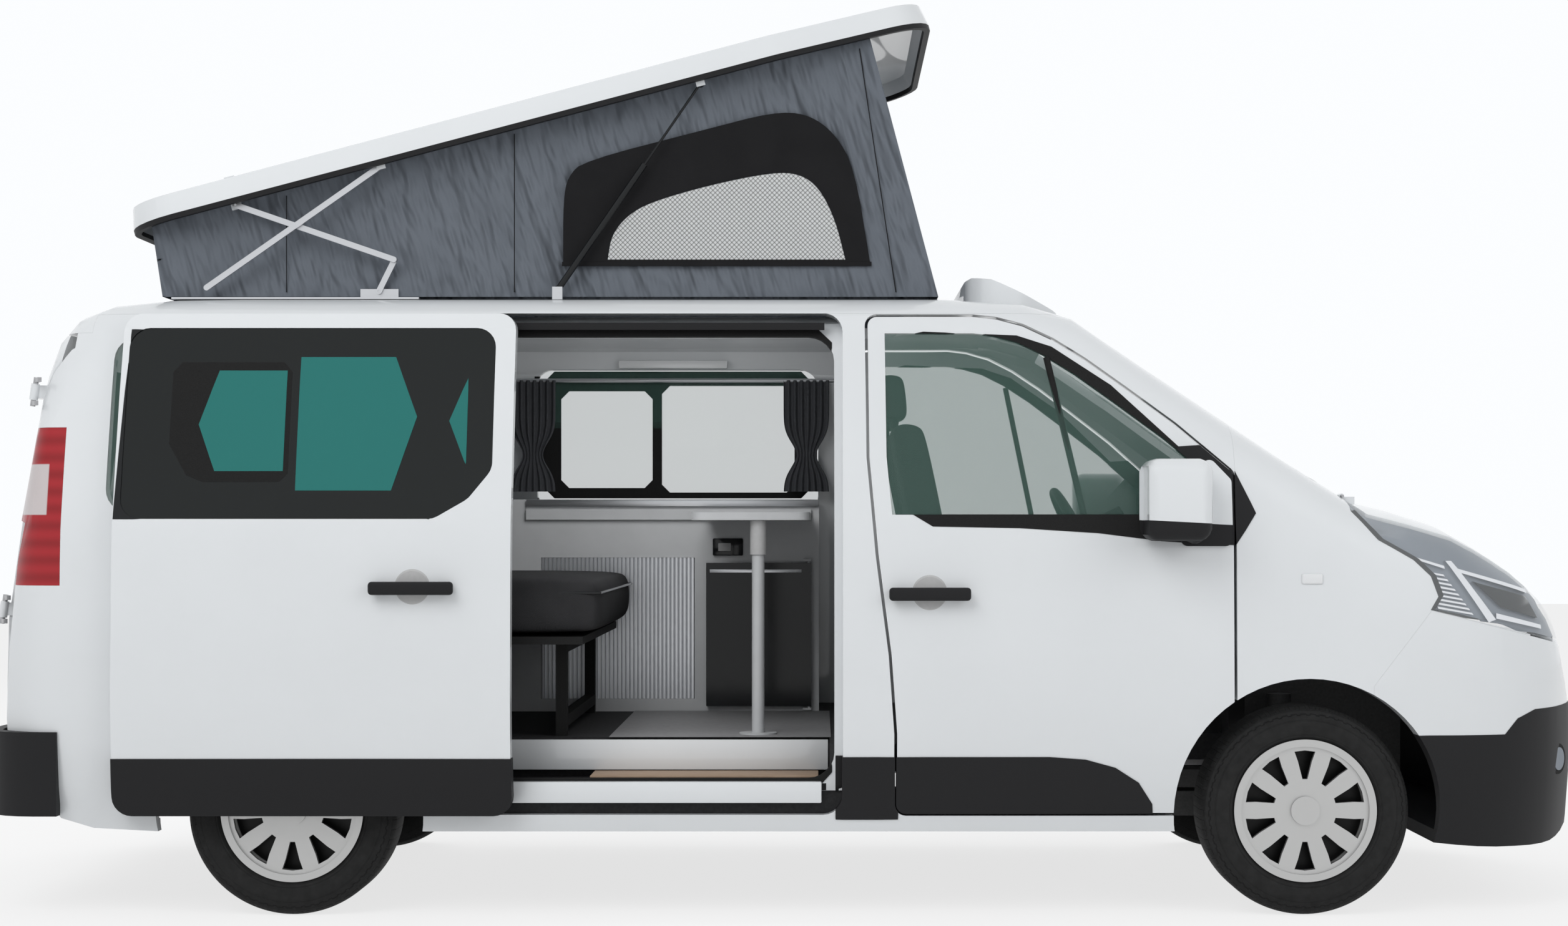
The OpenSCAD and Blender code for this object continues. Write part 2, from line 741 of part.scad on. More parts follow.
// Where the underbody ends inside the body's sides, and its jacking pads
sill_y = inner_w - 6.5;
jack_x = xf - 949;
jack_z = 284;
module underbody() {
    color("dimgray") difference() {
        union() {
            translate([0, 0, floor_low]) linear_extrude(floor_t)
                hollow_plan(floor_end, cab_floor_end, seat_gap);
            box(cab_floor_end - 20, bulkhead_x + sheet, -tunnel_y, tunnel_y, floor_low, floor_h);
            box(bulkhead_x, bulkhead_x + sheet, -tunnel_y, tunnel_y, floor_low, 1180);
            box(bulkhead_x, bulkhead_x + sheet, -sill_y, sill_y, 740, 1180);
            for (s = [0, 1]) mirror([0, s, 0]) {
                box(xr + arch_r + 20, xf - arch_r - 20, -sill_y, -inner_w + 80, 300, step_h - 20);
                box(jack_x - 45, jack_x + 45, -sill_y + 15, -inner_w + 70, jack_z, 310);
                box(xr - house_r, xr + house_r, -sill_y, -house_y, floor_low, house_top);
                box(xr + arch_r + 20, xr + arch_r + 60, -sill_y, -inner_w + 80, 300, floor_low + 10);
                box(xf - arch_r - 60, xf - arch_r - 20, -sill_y, -inner_w + 80, 300, floor_low + 10);
            }
            box(xb - 1120, xb, -sill_y, -step_y + sheet, step_h - 20, floor_low + 10);
            box(floor_end, floor_end + 60, -600, 600, 300, floor_low + 10);
            translate([floor_end, tow_y, tow_z]) rotate([0, 90, 0]) cylinder(r = 24, h = tow_len);
            box(floor_end, floor_end + tow_len, tow_y - 24, tow_y + 24, tow_z, 310);
        }
        box(xb - 1100, xb - 14, -big, -step_y, step_h, big);
        box(bulkhead_x - seat_gap, bulkhead_x, -big, big, 0, big);
        for (s = [0, 1]) mirror([0, s, 0]) {
            box(xr - house_r + sheet, xr + house_r - sheet, -big, -house_y - sheet, 0, house_top - sheet);
            difference() {
                box(xr - house_r - seat_gap, xr + house_r + seat_gap, -big, seat_gap - house_y, 0, big);
                box(xr - house_r, xr + house_r, -2 * big, -house_y, -big, 2 * big);
            }
        }
        translate([floor_end - 1, tow_y, tow_z]) rotate([0, 90, 0]) cylinder(r = tow_r, h = tow_len + 2);
    }
}
module engine_block() {
    color("gray") difference() {
        box(xf - 90, xf + 420, -340, 340, 330 + seat_gap, 900);
        for (s = [-1, 1]) translate([0, s * 340, 0]) rotate([45, 0, 0]) box(-big, big, -30, 30, -30, 30);
        box(xf - 100, xf + 120, -341, 341, 760, 901);
    }
}
// Front subframe with lower and upper arms, and the rear beam with its trailing arms
arm_y = 420;
king_y = kingpin_track / 2;
king_r = 13;
wheel_y = track / 2;
low_arm_z = tyre_r - 110;
high_arm_z = tyre_r + 122;
arm_t = 24;
hub_len = 40;
module axles() {
    color("dimgray") {
        difference() {
            union() {
                box(xf - 90, xf + 90, -arm_y, arm_y, low_arm_z, low_arm_z + 40);
                for (s = [0, 1]) mirror([0, s, 0]) {
                    box(xf - 380, xf + 390, -arm_y, -300, low_arm_z + 40, 330);
                    box(xf - 380, xf - 330, -arm_y, -300, 330, floor_low - seat_gap);
                    for (z = [low_arm_z, high_arm_z]) {
                        translate([xf, -king_y, z]) cylinder(r = 32, h = arm_t);
                        box(xf - 30, xf + 30, -king_y, -arm_y + 20, z, z + arm_t);
                    }
                    translate([xf, -arm_y - 40, low_arm_z]) cylinder(r = 38, h = 440);
                }
            }
            for (s = [-1, 1]) translate([xf, s * king_y, 0]) cylinder(r = king_r + seat_gap, h = 1000);
        }
        difference() {
            union() {
                translate([xr, wheel_y + hub_len, tyre_r]) rotate([90, 0, 0])
                    cylinder(r = spindle_r, h = track + 2 * hub_len);
                translate([xr, wheel_y - 70, tyre_r]) rotate([90, 0, 0]) cylinder(r = 44, h = track - 140);
                for (s = [0, 1]) mirror([0, s, 0]) {
                    box(xr, xr + 460, -600, -560, tyre_r - 20, tyre_r + 20);
                    box(xr + 400, xr + 460, -600, -560, tyre_r + 20, floor_low - seat_gap);
                    translate([xr, -500, tyre_r]) cylinder(r = 52, h = floor_low - seat_gap - tyre_r);
                }
            }
        }
    }
}
// Fuel tank under the floor and exhaust with its silencer
module tank_exhaust() {
    color("silver") {
        box(xb - 900, xb - 100, 120, 560, 250, floor_low - seat_gap);
        translate([xb - 1000, -260, 300]) rotate([0, 90, 0]) cylinder(r = 28, h = 1400);
        translate([xb - 500, -260, 320]) rotate([0, 90, 0]) cylinder(r = 90, h = 500);
        for (x = [xb - 940, xb + 300]) box(x, x + 30, -275, -245, 300, floor_low - seat_gap);
    }
}
// Steering knuckle of one side: post on the kingpins, spindle and steering arm
module knuckle(s) {
    color("gray") translate([xf, 0, tyre_r]) {
        translate([0, s * king_y, low_arm_z + arm_t + 1 - tyre_r])
            cylinder(r = 34, h = high_arm_z - low_arm_z - arm_t - 2);
        translate([0, s * king_y, low_arm_z - tyre_r]) cylinder(r = king_r, h = high_arm_z - low_arm_z + arm_t);
        translate([0, s * king_y, 0]) rotate([-s * 90, 0, 0])
            cylinder(r = spindle_r, h = wheel_y - king_y + hub_len);
        box(-150, 0, s * king_y - 14 - (s > 0 ? 20 : -20), s * king_y + 14 - (s > 0 ? 20 : -20), -12, 12);
    }
}
module knuckle_left() { knuckle(1); }
module knuckle_right() { knuckle(-1); }

// A wheel's own frame: +Z points away from the van
module wheel_place(x, s) {
    translate([x, s * wheel_y, tyre_r]) rotate([-s * 90, 0, 0]) children();
}
bead_w = 84;
module tyre(x, s) {
    h = tyre_w / 2;
    color([0.08, 0.08, 0.08]) wheel_place(x, s) rotate_extrude($fn = 96) polygon([
        [rim_r + 0.2, 0.3 - bead_w], [rim_r + 13, 0.3 - bead_w], [rim_r + 22, -h + 8], [rim_r + 50, -h],
        [tyre_r - 44, -h + 2], [tyre_r - 14, -h + 14], [tyre_r - 4, -h + 28], [tyre_r, -h + 44],
        [tyre_r, h - 44], [tyre_r - 4, h - 28], [tyre_r - 14, h - 14], [tyre_r - 44, h - 2], [rim_r + 50, h],
        [rim_r + 22, h - 8], [rim_r + 13, bead_w - 0.3], [rim_r + 0.2, bead_w - 0.3]]);
}
cover_z = 66;
cover_t = 16;
module wheel_rim(x, s) {
    color("silver") wheel_place(x, s) difference() {
        union() {
            rotate_extrude($fn = 96) polygon([
                [rim_r - 10, -bead_w - 8], [rim_r + 12, -bead_w - 8], [rim_r + 12, -bead_w], [rim_r, -bead_w],
                [rim_r, bead_w], [rim_r + 12, bead_w], [rim_r + 12, bead_w + 8], [rim_r - 10, bead_w + 8]]);
            translate([0, 0, -30]) cylinder(r = 75, h = cover_z + 34);
            cylinder(r = rim_r - 9, h = 14);
            translate([0, 0, cover_z]) linear_extrude(cover_t) difference() {
                circle(rim_r - 9, $fn = 96);
                for (i = [0:spokes - 1]) rotate((i + 0.5) * 360 / spokes) cover_window();
            }
            translate([0, 0, cover_z]) cylinder(r = 44, h = cover_t + 10);
        }
        translate([0, 0, -40]) cylinder(r = spindle_r + running, h = 40 + hub_len + 2);
    }
}
// Opening between two spokes of the wheel cover
module cover_window() {
    a = 180 / spokes * 0.56;
    polygon([[96, -96 * tan(a) * 0.45], [150, -150 * tan(a) * 0.8], [rim_r - 26, -(rim_r - 26) * tan(a)],
             [rim_r - 22, 0], [rim_r - 26, (rim_r - 26) * tan(a)], [150, 150 * tan(a) * 0.8],
             [96, 96 * tan(a) * 0.45]]);
}
module tyre_front_left() { tyre(xf, 1); }
module tyre_front_right() { tyre(xf, -1); }
module tyre_rear_left() { tyre(xr, 1); }
module tyre_rear_right() { tyre(xr, -1); }
module rim_front_left() { wheel_rim(xf, 1); }
module rim_front_right() { wheel_rim(xf, -1); }
module rim_rear_left() { wheel_rim(xr, 1); }
module rim_rear_right() { wheel_rim(xr, -1); }

// Cab: dashboard with the steering wheel, and two seats on boxes
driver_y = 390;
dash_y = 790;
wheel_c = [xf - 560, 1150];
module dashboard() {
    color("dimgray") {
        side_prism(-dash_y, dash_y) polygon([
            [bulkhead_x - seat_gap, 860], [bulkhead_x - seat_gap, 1170], [xf - 300, 1230], [xf - 420, 1210],
            [xf - 470, 1140], [xf - 440, 990], [xf - 360, 860]]);
        translate([wheel_c[0], driver_y, wheel_c[1]]) rotate([0, 62, 0]) {
            rotate_extrude($fn = 64) translate([185, 0]) circle(15, $fn = 24);
            cylinder(r = 62, h = 36, center = true);
            for (a = [0, 90, 180]) rotate(a) box(40, 185, -16, 16, -8, 8);
            cylinder(r = 34, h = 180);
        }
    }
}
seat_x = xb + 270;
module front_seat() {
    hull() for (x = [40, 500], y = [-215, 215]) translate([x, y, 800]) cylinder(r = 40, h = 130, $fn = 24);
    hull() {
        for (y = [-200, 200]) translate([80, y, 930 + seat_gap]) rotate([0, -12, 0]) cylinder(r = 55, h = 20, $fn = 24);
        for (y = [-190, 190]) translate([-40, y, 1490]) rotate([0, -12, 0]) cylinder(r = 48, h = 20, $fn = 24);
    }
    hull() for (y = [-100, 100]) translate([-62, y, 1525]) rotate([0, -12, 0]) cylinder(r = 45, h = 150, $fn = 24);
    for (y = [-60, 60]) translate([-50, y, 1480]) rotate([0, -12, 0]) cylinder(r = 8, h = 80, $fn = 24);
    box(60, 480, -200, 200, floor_h + seat_gap, 800);
}
module front_seats() {
    color("dimgray") for (s = [-1, 1]) translate([seat_x, s * driver_y, 0]) front_seat();
}

// Living space: bench, bed, kitchen, table and curtains
bench_front = xb - 847;
bed_rear = xr - 600;
bed_front = xb - 714;
bed_low = bed_h - cushion_h;
bed_y0 = -860;
kitchen_back = inner_w - 50;
kitchen_y = kitchen_back - kitchen_d;
bed_y1 = kitchen_y - 15;
tube = 36;
module bench_frame() {
    color("dimgray") {
        for (x = [bench_front - tube, bench_front - 380], y = [-600, bed_y1 - 60])
            box(x, x + tube, y, y + tube, floor_h + seat_gap, bed_low - 24);
        for (x = [bench_front - tube, bench_front - 380], z = [floor_h + 30, bed_low - 60])
            box(x, x + tube, -600, bed_y1 - 24, z, z + tube);
        for (x = [bed_rear + 100], y = [-500, 300]) box(x, x + tube, y, y + tube, floor_h + seat_gap, bed_low - 24);
        box(bed_rear, bed_front - 60, bed_y0 + 10, bed_y1 - 10, bed_low - 24, bed_low - seat_gap);
    }
}
module bed_cushions() {
    color("dimgray") {
        box(xb - 1460, bed_front, bed_y0, bed_y1, bed_low, bed_h);
        box(bed_rear, xb - 1464, bed_y0, bed_y1, bed_low, bed_h);
    }
}
kitchen_x0 = xr - 350;
kitchen_x1 = xb - 47;
// Cupboard behind the roller shutter and the fridge's compartment: start, end, low, high
CUPBOARD = [xb - 1047, xb - 494, 570, 1078];
FRIDGE = [xb - 453, xb - 75, 545, 1059];
rail_low = 1214;
rail_d = 14;
fridge_axis = [FRIDGE[1] - 8, kitchen_y - 18];
module kitchen_unit() {
    color("gainsboro") difference() {
        union() {
            box(kitchen_x0, kitchen_x1, kitchen_y, kitchen_back, floor_h + seat_gap, worktop_h);
            box(xb - 1100, FRIDGE[1], kitchen_y - rail_d, kitchen_y, rail_low, rail_low + 38);
            for (z = [FRIDGE[2] - 14, FRIDGE[3] + 6])
                box(FRIDGE[1] - 30, FRIDGE[1], kitchen_y - 28, kitchen_y, z, z + 8);
            translate([fridge_axis[0], fridge_axis[1], FRIDGE[2] - 14]) cylinder(r = 5, h = 40);
            translate([fridge_axis[0], fridge_axis[1], FRIDGE[3] - 26]) cylinder(r = 5, h = 40);
        }
        for (c = [CUPBOARD, FRIDGE])
            box(c[0], c[1], kitchen_y, kitchen_back - board, c[2], c[3]);
        box(xr - house_r - 2, xr + house_r + 2, house_y - 2, big, 0, house_top + 2);
    }
}
slat = 14;
module tambour_door() {
    n = floor((CUPBOARD[1] - CUPBOARD[0]) / slat) - 1;
    x0 = CUPBOARD[0] + seat_gap;
    x1 = CUPBOARD[1] - seat_gap;
    pitch = (x1 - x0) / n;
    color("silver") translate([0, 0, CUPBOARD[2] + seat_gap])
        linear_extrude(CUPBOARD[3] - CUPBOARD[2] - 2 * seat_gap) polygon(concat(
            [[x1, kitchen_y + 14], [x0, kitchen_y + 14]],
            [for (i = [0:n - 1], p = [[0, 7], [0.25, 3], [0.75, 3]]) [x0 + (i + p[0]) * pitch, kitchen_y + p[1]]],
            [[x1, kitchen_y + 7]]));
}
module fridge_door() {
    color([0.1, 0.1, 0.1]) difference() {
        box(FRIDGE[0] + 2, FRIDGE[1], kitchen_y - 26, kitchen_y - 10, FRIDGE[2], FRIDGE[3]);
        translate([fridge_axis[0], fridge_axis[1], 0]) cylinder(r = 5 + seat_gap, h = big);
    }
}
table_t = 25;
table_leg = [xb - 241, -557];
module table() {
    color("gainsboro") {
        translate([0, 0, table_h - table_t]) linear_extrude(table_t) hull() for (
            x = [FRIDGE[0] + 40, FRIDGE[1] - 40], y = [-560, kitchen_y - rail_d - 41])
            translate([x, y]) circle(40, $fn = 24);
        translate([table_leg[0], table_leg[1], floor_h + seat_gap]) {
            cylinder(r = 20, h = table_h - table_t - floor_h);
            cylinder(r = 60, h = 8);
        }
    }
}
// Curtains gathered beside the windows, hanging on the wall lining
module curtains() {
    color("slategray") on_side("left") intersection() {
        skin(wall + seat_gap, 26);
        side_prism(-big, -500) {
            for (x = [xb - 1170, xb - 600, xb - 30]) rect(x, x + 70, 1398, 1740);
            rect(xb - 1190, xb + 60, 1724, 1742);
        }
    }
}

// Lifting roof: the cap turns about a point behind the van, as its arms guide it
pole = [xb - 2879, roof_h + 53];
rim_z = roof_h + 25;
cap_x0 = xb - 2209;
cap_in = cap_w / 2 - cap_t;
module raised() {
    translate([pole[0], 0, pole[1]]) rotate([0, -lift_angle, 0]) translate([-pole[0], 0, -pole[1]]) children();
}
// A point of the closed cap's side view, where it is when raised
function raise(p) = let (x = p[0] - pole[0], z = p[1] - pole[1])
    [pole[0] + x * cos(lift_angle) - z * sin(lift_angle), pole[1] + x * sin(lift_angle) + z * cos(lift_angle)];
module cap_plan(inset = 0) {
    offset(delta = -inset) rounded(150) polygon([
        [cap_x0, -cap_w / 2 + 40], [cap_x0 + 140, -cap_w / 2], [cap_x0 + cap_len - 500, -cap_w / 2],
        [cap_x0 + cap_len, -cap_w / 2 + 70], [cap_x0 + cap_len, cap_w / 2 - 70],
        [cap_x0 + cap_len - 500, cap_w / 2], [cap_x0 + 140, cap_w / 2], [cap_x0, cap_w / 2 - 40]]);
}
module cap_slice(z, inset) {
    translate([0, 0, z]) linear_extrude(0.5) cap_plan(inset);
}
cap_low = rim_z + rim_h + seat_gap;
cap_wall_h = 66;
// Pivots on the cap, closed: arms, cross arms, strut tops
ARM_TOP = [xb - 1380.6, rim_z];
CROSS_TOP = [xb - 1857, rim_z];
STRUT_TOP = [xb - 344, rim_z - 3];
stud_r = 4;
// Layers of the linkage, counted from the middle of the van
LINK_Y = 652.5;
CROSS_Y = 666;
ARM_Y = 679;
layer_t = 10;
module cap_stud(p, y0, y1) {
    both_sides() translate([p[0], -y0, p[1]]) rotate([90, 0, 0]) cylinder(r = stud_r, h = y1 - y0);
}
module pop_roof() {
    color("white") raised() {
        difference() {
            hull() {
                cap_slice(cap_low, 0);
                cap_slice(cap_low + cap_wall_h, 14);
                cap_slice(rim_z + cap_h - 0.5, 190);
            }
            hull() {
                cap_slice(cap_low - 1, cap_t);
                cap_slice(cap_low + cap_wall_h - cap_t, cap_t + 12);
                cap_slice(rim_z + cap_h - cap_t, 200);
            }
        }
        cap_stud(ARM_TOP, ARM_Y, cap_in - 0.2);
        cap_stud(STRUT_TOP, CROSS_Y - 6, cap_in - 0.2);
        cap_stud(CROSS_TOP, LINK_Y + 4, CROSS_Y + layer_t);
        both_sides() {
            for (p = [ARM_TOP, STRUT_TOP])
                for (low = [[p[1] - 12, -seat_gap], [cap_low + 2, 2]])
                    box(p[0] - 14, p[0] + 14, -cap_in - low[1], -ARM_Y - layer_t - 1, low[0], cap_low + 30);
            box(CROSS_TOP[0] - 16, CROSS_TOP[0] + 16, -LINK_Y - layer_t, -LINK_Y, rim_z - 12, rim_z + cap_h - 24);
        }
    }
}
module pop_roof_rim() {
    color([0.1, 0.1, 0.1]) raised() translate([0, 0, rim_z]) linear_extrude(rim_h) difference() {
        cap_plan();
        cap_plan(cap_t);
    }
}
// A flat arm of one layer with an eye at its first end
module flat_arm(a, b, y, hole) {
    both_sides() translate([0, -y, 0]) rotate([90, 0, 0]) linear_extrude(layer_t) difference() {
        bar(a, b, 9);
        translate(a) circle(hole, $fn = 24);
    }
}
ARM_FOOT = [xb - 1971, roof_h + 25];
CROSS_END = [xb - 1385, roof_h + 115];
LINK_BASE = [xb - 1434, roof_h + 16];
STRUT_BASE = [xb - 869, roof_h + 20];
module lift_arms() { color("silver") flat_arm(raise(ARM_TOP), ARM_FOOT, ARM_Y, stud_r + seat_gap); }
module lift_cross_arms() { color("silver") flat_arm(raise(CROSS_TOP), CROSS_END, CROSS_Y, stud_r + seat_gap); }
module lift_links() { color("silver") flat_arm(LINK_BASE, CROSS_END, LINK_Y, stud_r + seat_gap); }
rail_h = 14;
rail_z = roof_h - 11;
module roof_rails() {
    color("silver") both_sides() {
        box(ARM_FOOT[0] - 110, LINK_BASE[0] + 130, -ARM_Y - layer_t, -LINK_Y - layer_t - 2, rail_z, rail_z + 6);
        box(LINK_BASE[0] - 60, LINK_BASE[0] + 60, -LINK_Y + 1, -LINK_Y + 8, rail_z + 0.5, LINK_BASE[1] + 8);
        translate([LINK_BASE[0], -LINK_Y + 6, LINK_BASE[1]]) rotate([90, 0, 0]) cylinder(r = stud_r, h = layer_t + 5);
        box(STRUT_BASE[0] - 16, STRUT_BASE[0] + 16, -ARM_Y - layer_t, -ARM_Y - 4, rail_z - 1.2, STRUT_BASE[1] + 8);
        translate([STRUT_BASE[0], -CROSS_Y + 4, STRUT_BASE[1]]) rotate([90, 0, 0])
            cylinder(r = stud_r, h = ARM_Y + 10 - CROSS_Y);
    }
}
strut_y = CROSS_Y + layer_t / 2;
strut_dir = raise(STRUT_TOP) - STRUT_BASE;
strut_len = norm(strut_dir);
strut_tilt = atan2(strut_dir[0], strut_dir[1]);
barrel_len = 470;
barrel_r = 10;
rod_r = 4;
module strut_place() {
    both_sides() translate([STRUT_BASE[0], -strut_y, STRUT_BASE[1]]) rotate([0, strut_tilt, 0]) children();
}
module strut_eye(z, hole) {
    translate([0, layer_t / 2, z]) rotate([90, 0, 0]) difference() {
        cylinder(r = 13, h = layer_t);
        translate([0, 0, -1]) cylinder(r = hole, h = layer_t + 2);
    }
}
module strut_cylinders() {
    color([0.12, 0.12, 0.12]) strut_place() {
        difference() {
            translate([0, 0, 10]) cylinder(r = barrel_r, h = barrel_len);
            translate([0, 0, 24]) cylinder(r = rod_r + seat_gap, h = barrel_len);
            translate([0, 10, 0]) rotate([90, 0, 0]) cylinder(r = 12.5, h = 20);
        }
        strut_eye(0, stud_r + seat_gap);
    }
}
module strut_rods() {
    color("silver") strut_place() {
        translate([0, 0, strut_len - 480]) cylinder(r = rod_r, h = 469);
        strut_eye(strut_len, stud_r + 4.5);
    }
}
// Fabric walls between the roof and the raised cap
tent_x0 = xb - 2121;
tent_x1 = xb + 330;
tent_low = roof_h + seat_gap;
tent_rear = raise([cap_x0 + 75, rim_z + 18]);
tent_front = raise([xb + 211, rim_z + 18]);
module tent() {
    color("slategray") difference() {
        side_prism(-tent_w / 2, tent_w / 2) polygon([
            [tent_x0, tent_low], [tent_x1, tent_low], tent_front, tent_rear]);
        side_prism(-tent_w / 2 + tent_t, tent_w / 2 - tent_t) polygon([
            [tent_x0 + tent_t, tent_low - 20], [tent_x1 - tent_t, tent_low - 20], tent_front + [-2 * tent_t, 40],
            tent_rear + [2 * tent_t, 40]]);
    }
}
module roof_fairing() {
    color("white") difference() {
        intersection() {
            side_prism(-big, big) polygon([
                [xf - 1019, 1850], [xf - 1019, roof_h + 60], [xf - 1000, roof_h + 68], [xf - 940, roof_h + 60],
                [xf - 717, roof_h - 38], [xf - 717, 1850]]);
            linear_extrude(big) rounded(120) polygon([
                [xf - 1019, -640], [xf - 860, -620], [xf - 717, -480], [xf - 717, 480], [xf - 860, 620],
                [xf - 1019, 640]]);
        }
        loft(STATIONS, -seat_gap, -1);
    }
}

underbody();
body_left();
body_right();
roof_frame();
front_wings();
cowl();
bumper_front();
rear_bumper();
headlamps();
tail_lamps();
windscreen();
side_windows();
sliding_door();
sliding_door_glass();
door_tracks();
door_hinges();
engine_block();
axles();
tank_exhaust();
dashboard();
front_seats();
bench_frame();
bed_cushions();
kitchen_unit();
tambour_door();
table();
curtains();
roof_rails();
roof_fairing();
tent();
pop_roof();
pop_roof_rim();
lift_arms();
lift_cross_arms();
lift_links();
strut_cylinders();
strut_rods();
front_door_right();
front_door_left();
door_glass_right();
door_glass_left();
mirror_right();
mirror_left();
rear_door_right();
rear_door_left();
rear_glass_right();
rear_glass_left();
bonnet();
fridge_door();
knuckle_left();
knuckle_right();
tyre_front_left();
tyre_front_right();
tyre_rear_left();
tyre_rear_right();
rim_front_left();
rim_front_right();
rim_rear_left();
rim_rear_right();
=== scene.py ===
# %% [markdown]
# # A campervan, dressed for the camera
# The exact solids of the van come from the CAD model, each as its own object. This lesson gives them smooth
# shading and procedural materials, and adds what Blender models best: cloth, padding, trim and lamps.

# %% Load the frame
import json
import math
import bmesh
import bpy
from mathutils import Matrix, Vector


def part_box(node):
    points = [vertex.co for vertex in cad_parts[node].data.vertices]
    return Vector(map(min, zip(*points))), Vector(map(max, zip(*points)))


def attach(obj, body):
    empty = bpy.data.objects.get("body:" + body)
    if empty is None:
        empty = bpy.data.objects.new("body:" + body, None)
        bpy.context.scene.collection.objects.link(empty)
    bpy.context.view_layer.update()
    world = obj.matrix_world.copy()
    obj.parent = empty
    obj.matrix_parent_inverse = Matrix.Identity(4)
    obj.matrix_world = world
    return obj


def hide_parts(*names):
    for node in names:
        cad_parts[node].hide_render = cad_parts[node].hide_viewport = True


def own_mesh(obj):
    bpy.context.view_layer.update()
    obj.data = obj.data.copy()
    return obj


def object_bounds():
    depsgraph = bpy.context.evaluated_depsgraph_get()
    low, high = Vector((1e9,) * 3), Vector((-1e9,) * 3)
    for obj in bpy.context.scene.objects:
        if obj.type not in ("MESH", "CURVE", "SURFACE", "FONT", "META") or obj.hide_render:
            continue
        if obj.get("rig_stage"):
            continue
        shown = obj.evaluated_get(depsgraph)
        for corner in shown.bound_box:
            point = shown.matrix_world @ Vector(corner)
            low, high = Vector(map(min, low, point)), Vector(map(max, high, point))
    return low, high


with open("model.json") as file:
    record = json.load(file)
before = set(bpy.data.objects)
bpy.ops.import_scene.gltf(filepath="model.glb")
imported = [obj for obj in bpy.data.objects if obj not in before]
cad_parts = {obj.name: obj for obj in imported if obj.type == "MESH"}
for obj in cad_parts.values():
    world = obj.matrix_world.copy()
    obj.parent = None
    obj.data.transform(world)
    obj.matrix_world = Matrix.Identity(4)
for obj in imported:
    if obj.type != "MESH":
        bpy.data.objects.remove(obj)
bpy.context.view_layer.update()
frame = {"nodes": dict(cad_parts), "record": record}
scene = bpy.context.scene
body_of = {node: body for body, nodes in frame["record"]["behaviour"]["bodies"].items() for node in nodes}
SIDES = {"right": -1, "left": 1}
print("loaded", len(frame["nodes"]), "solids")

# %% [markdown]
# ## Helpers that select and apply
# Operators work on the selection, so each helper starts by deselecting
# everything. A modifier could stay live on a piece, but here each one is applied
# at once, so that every piece ends as a plain mesh that is easy to check.

# %% Selecting, applying and shading
def fresh():
    """Leave edit mode and deselect everything."""
    if bpy.context.object and bpy.context.object.mode != "OBJECT":
        bpy.ops.object.mode_set(mode="OBJECT")
    bpy.ops.object.select_all(action="DESELECT")


def pick(obj):
    """Make one object the only selected one, and the active one."""
    fresh()
    obj.select_set(True)
    bpy.context.view_layer.objects.active = obj
    return obj


def apply(obj, kind, **settings):
    """Add a modifier with its settings and apply it."""
    pick(obj)
    modifier = obj.modifiers.new(kind.lower(), kind)
    for key, value in settings.items():
        setattr(modifier, key, value)
    bpy.ops.object.modifier_apply(modifier=modifier.name)
    return obj


def settle(obj):
    """Move an object's place, turn and scale into its mesh."""
    pick(obj)
    bpy.ops.object.transform_apply(location=True, rotation=True, scale=True)
    return obj


def smooth(obj, angle=30):
    pick(obj)
    bpy.ops.object.shade_smooth_by_angle(angle=math.radians(angle))
    return obj


def edit_all(obj):
    """Enter edit mode with the whole mesh selected."""
    pick(obj)
    bpy.ops.object.mode_set(mode="EDIT")
    bpy.ops.mesh.select_all(action="SELECT")


def move_points(obj, place):
    """Set each point in edit mode to what place(point) returns."""
    bpy.ops.object.mode_set(mode="EDIT")
    shape = bmesh.from_edit_mesh(obj.data)
    for vert in shape.verts:
        vert.co = place(vert.co)
    bmesh.update_edit_mesh(obj.data)
    bpy.ops.object.mode_set(mode="OBJECT")
    return obj


print("selection helpers ready")

# %% [markdown]
# ## Helpers that add a shape
# Nearly every fitting of a van is a rounded block, a tube or a flat plate with an
# outline. Each helper adds a primitive at its size and place, shapes it, and
# moves its place into the mesh, as the CAD solids have it.

# %% Blocks, rods and plates
def block(name, low, high, bevel=0.0, segments=2):
    """A box between two corners, with bevelled edges."""
    fresh()
    bpy.ops.mesh.primitive_cube_add(size=1, location=[(a + b) / 2 for a, b in zip(low, high)])
    obj = bpy.context.object
    obj.name = name
    obj.scale = [b - a for a, b in zip(low, high)]
    settle(obj)
    if bevel:
        apply(obj, "BEVEL", width=bevel, segments=segments, limit_method="ANGLE")
    return smooth(obj)


def rod(name, start, end, radius, sides=24, end_radius=None):
    """A round bar between two points, tapered where end_radius is given."""
    fresh()
    start, end = Vector(start), Vector(end)
    bpy.ops.mesh.primitive_cone_add(
        vertices=sides, radius1=radius, radius2=radius if end_radius is None else end_radius,
        depth=(end - start).length, location=(start + end) / 2,
        rotation=(end - start).to_track_quat("Z", "Y").to_euler())
    obj = bpy.context.object
    obj.name = name
    settle(obj)
    return smooth(obj)


def plate(name, points, near, far):
    """A flat outline in the side view (x, z), given depth from y = near to y = far."""
    fresh()
    bpy.ops.mesh.primitive_circle_add(vertices=len(points), radius=1, fill_type="NGON")
    obj = bpy.context.object
    obj.name = name
    places = iter([(x, near, z) for x, z in points])
    move_points(obj, lambda point: next(places))
    edit_all(obj)
    bpy.ops.mesh.extrude_region_move(TRANSFORM_OT_translate={"value": (0, far - near, 0)})
    bpy.ops.mesh.select_all(action="SELECT")
    bpy.ops.mesh.normals_make_consistent(inside=False)
    bpy.ops.object.mode_set(mode="OBJECT")
    return obj


print("shape helpers ready")

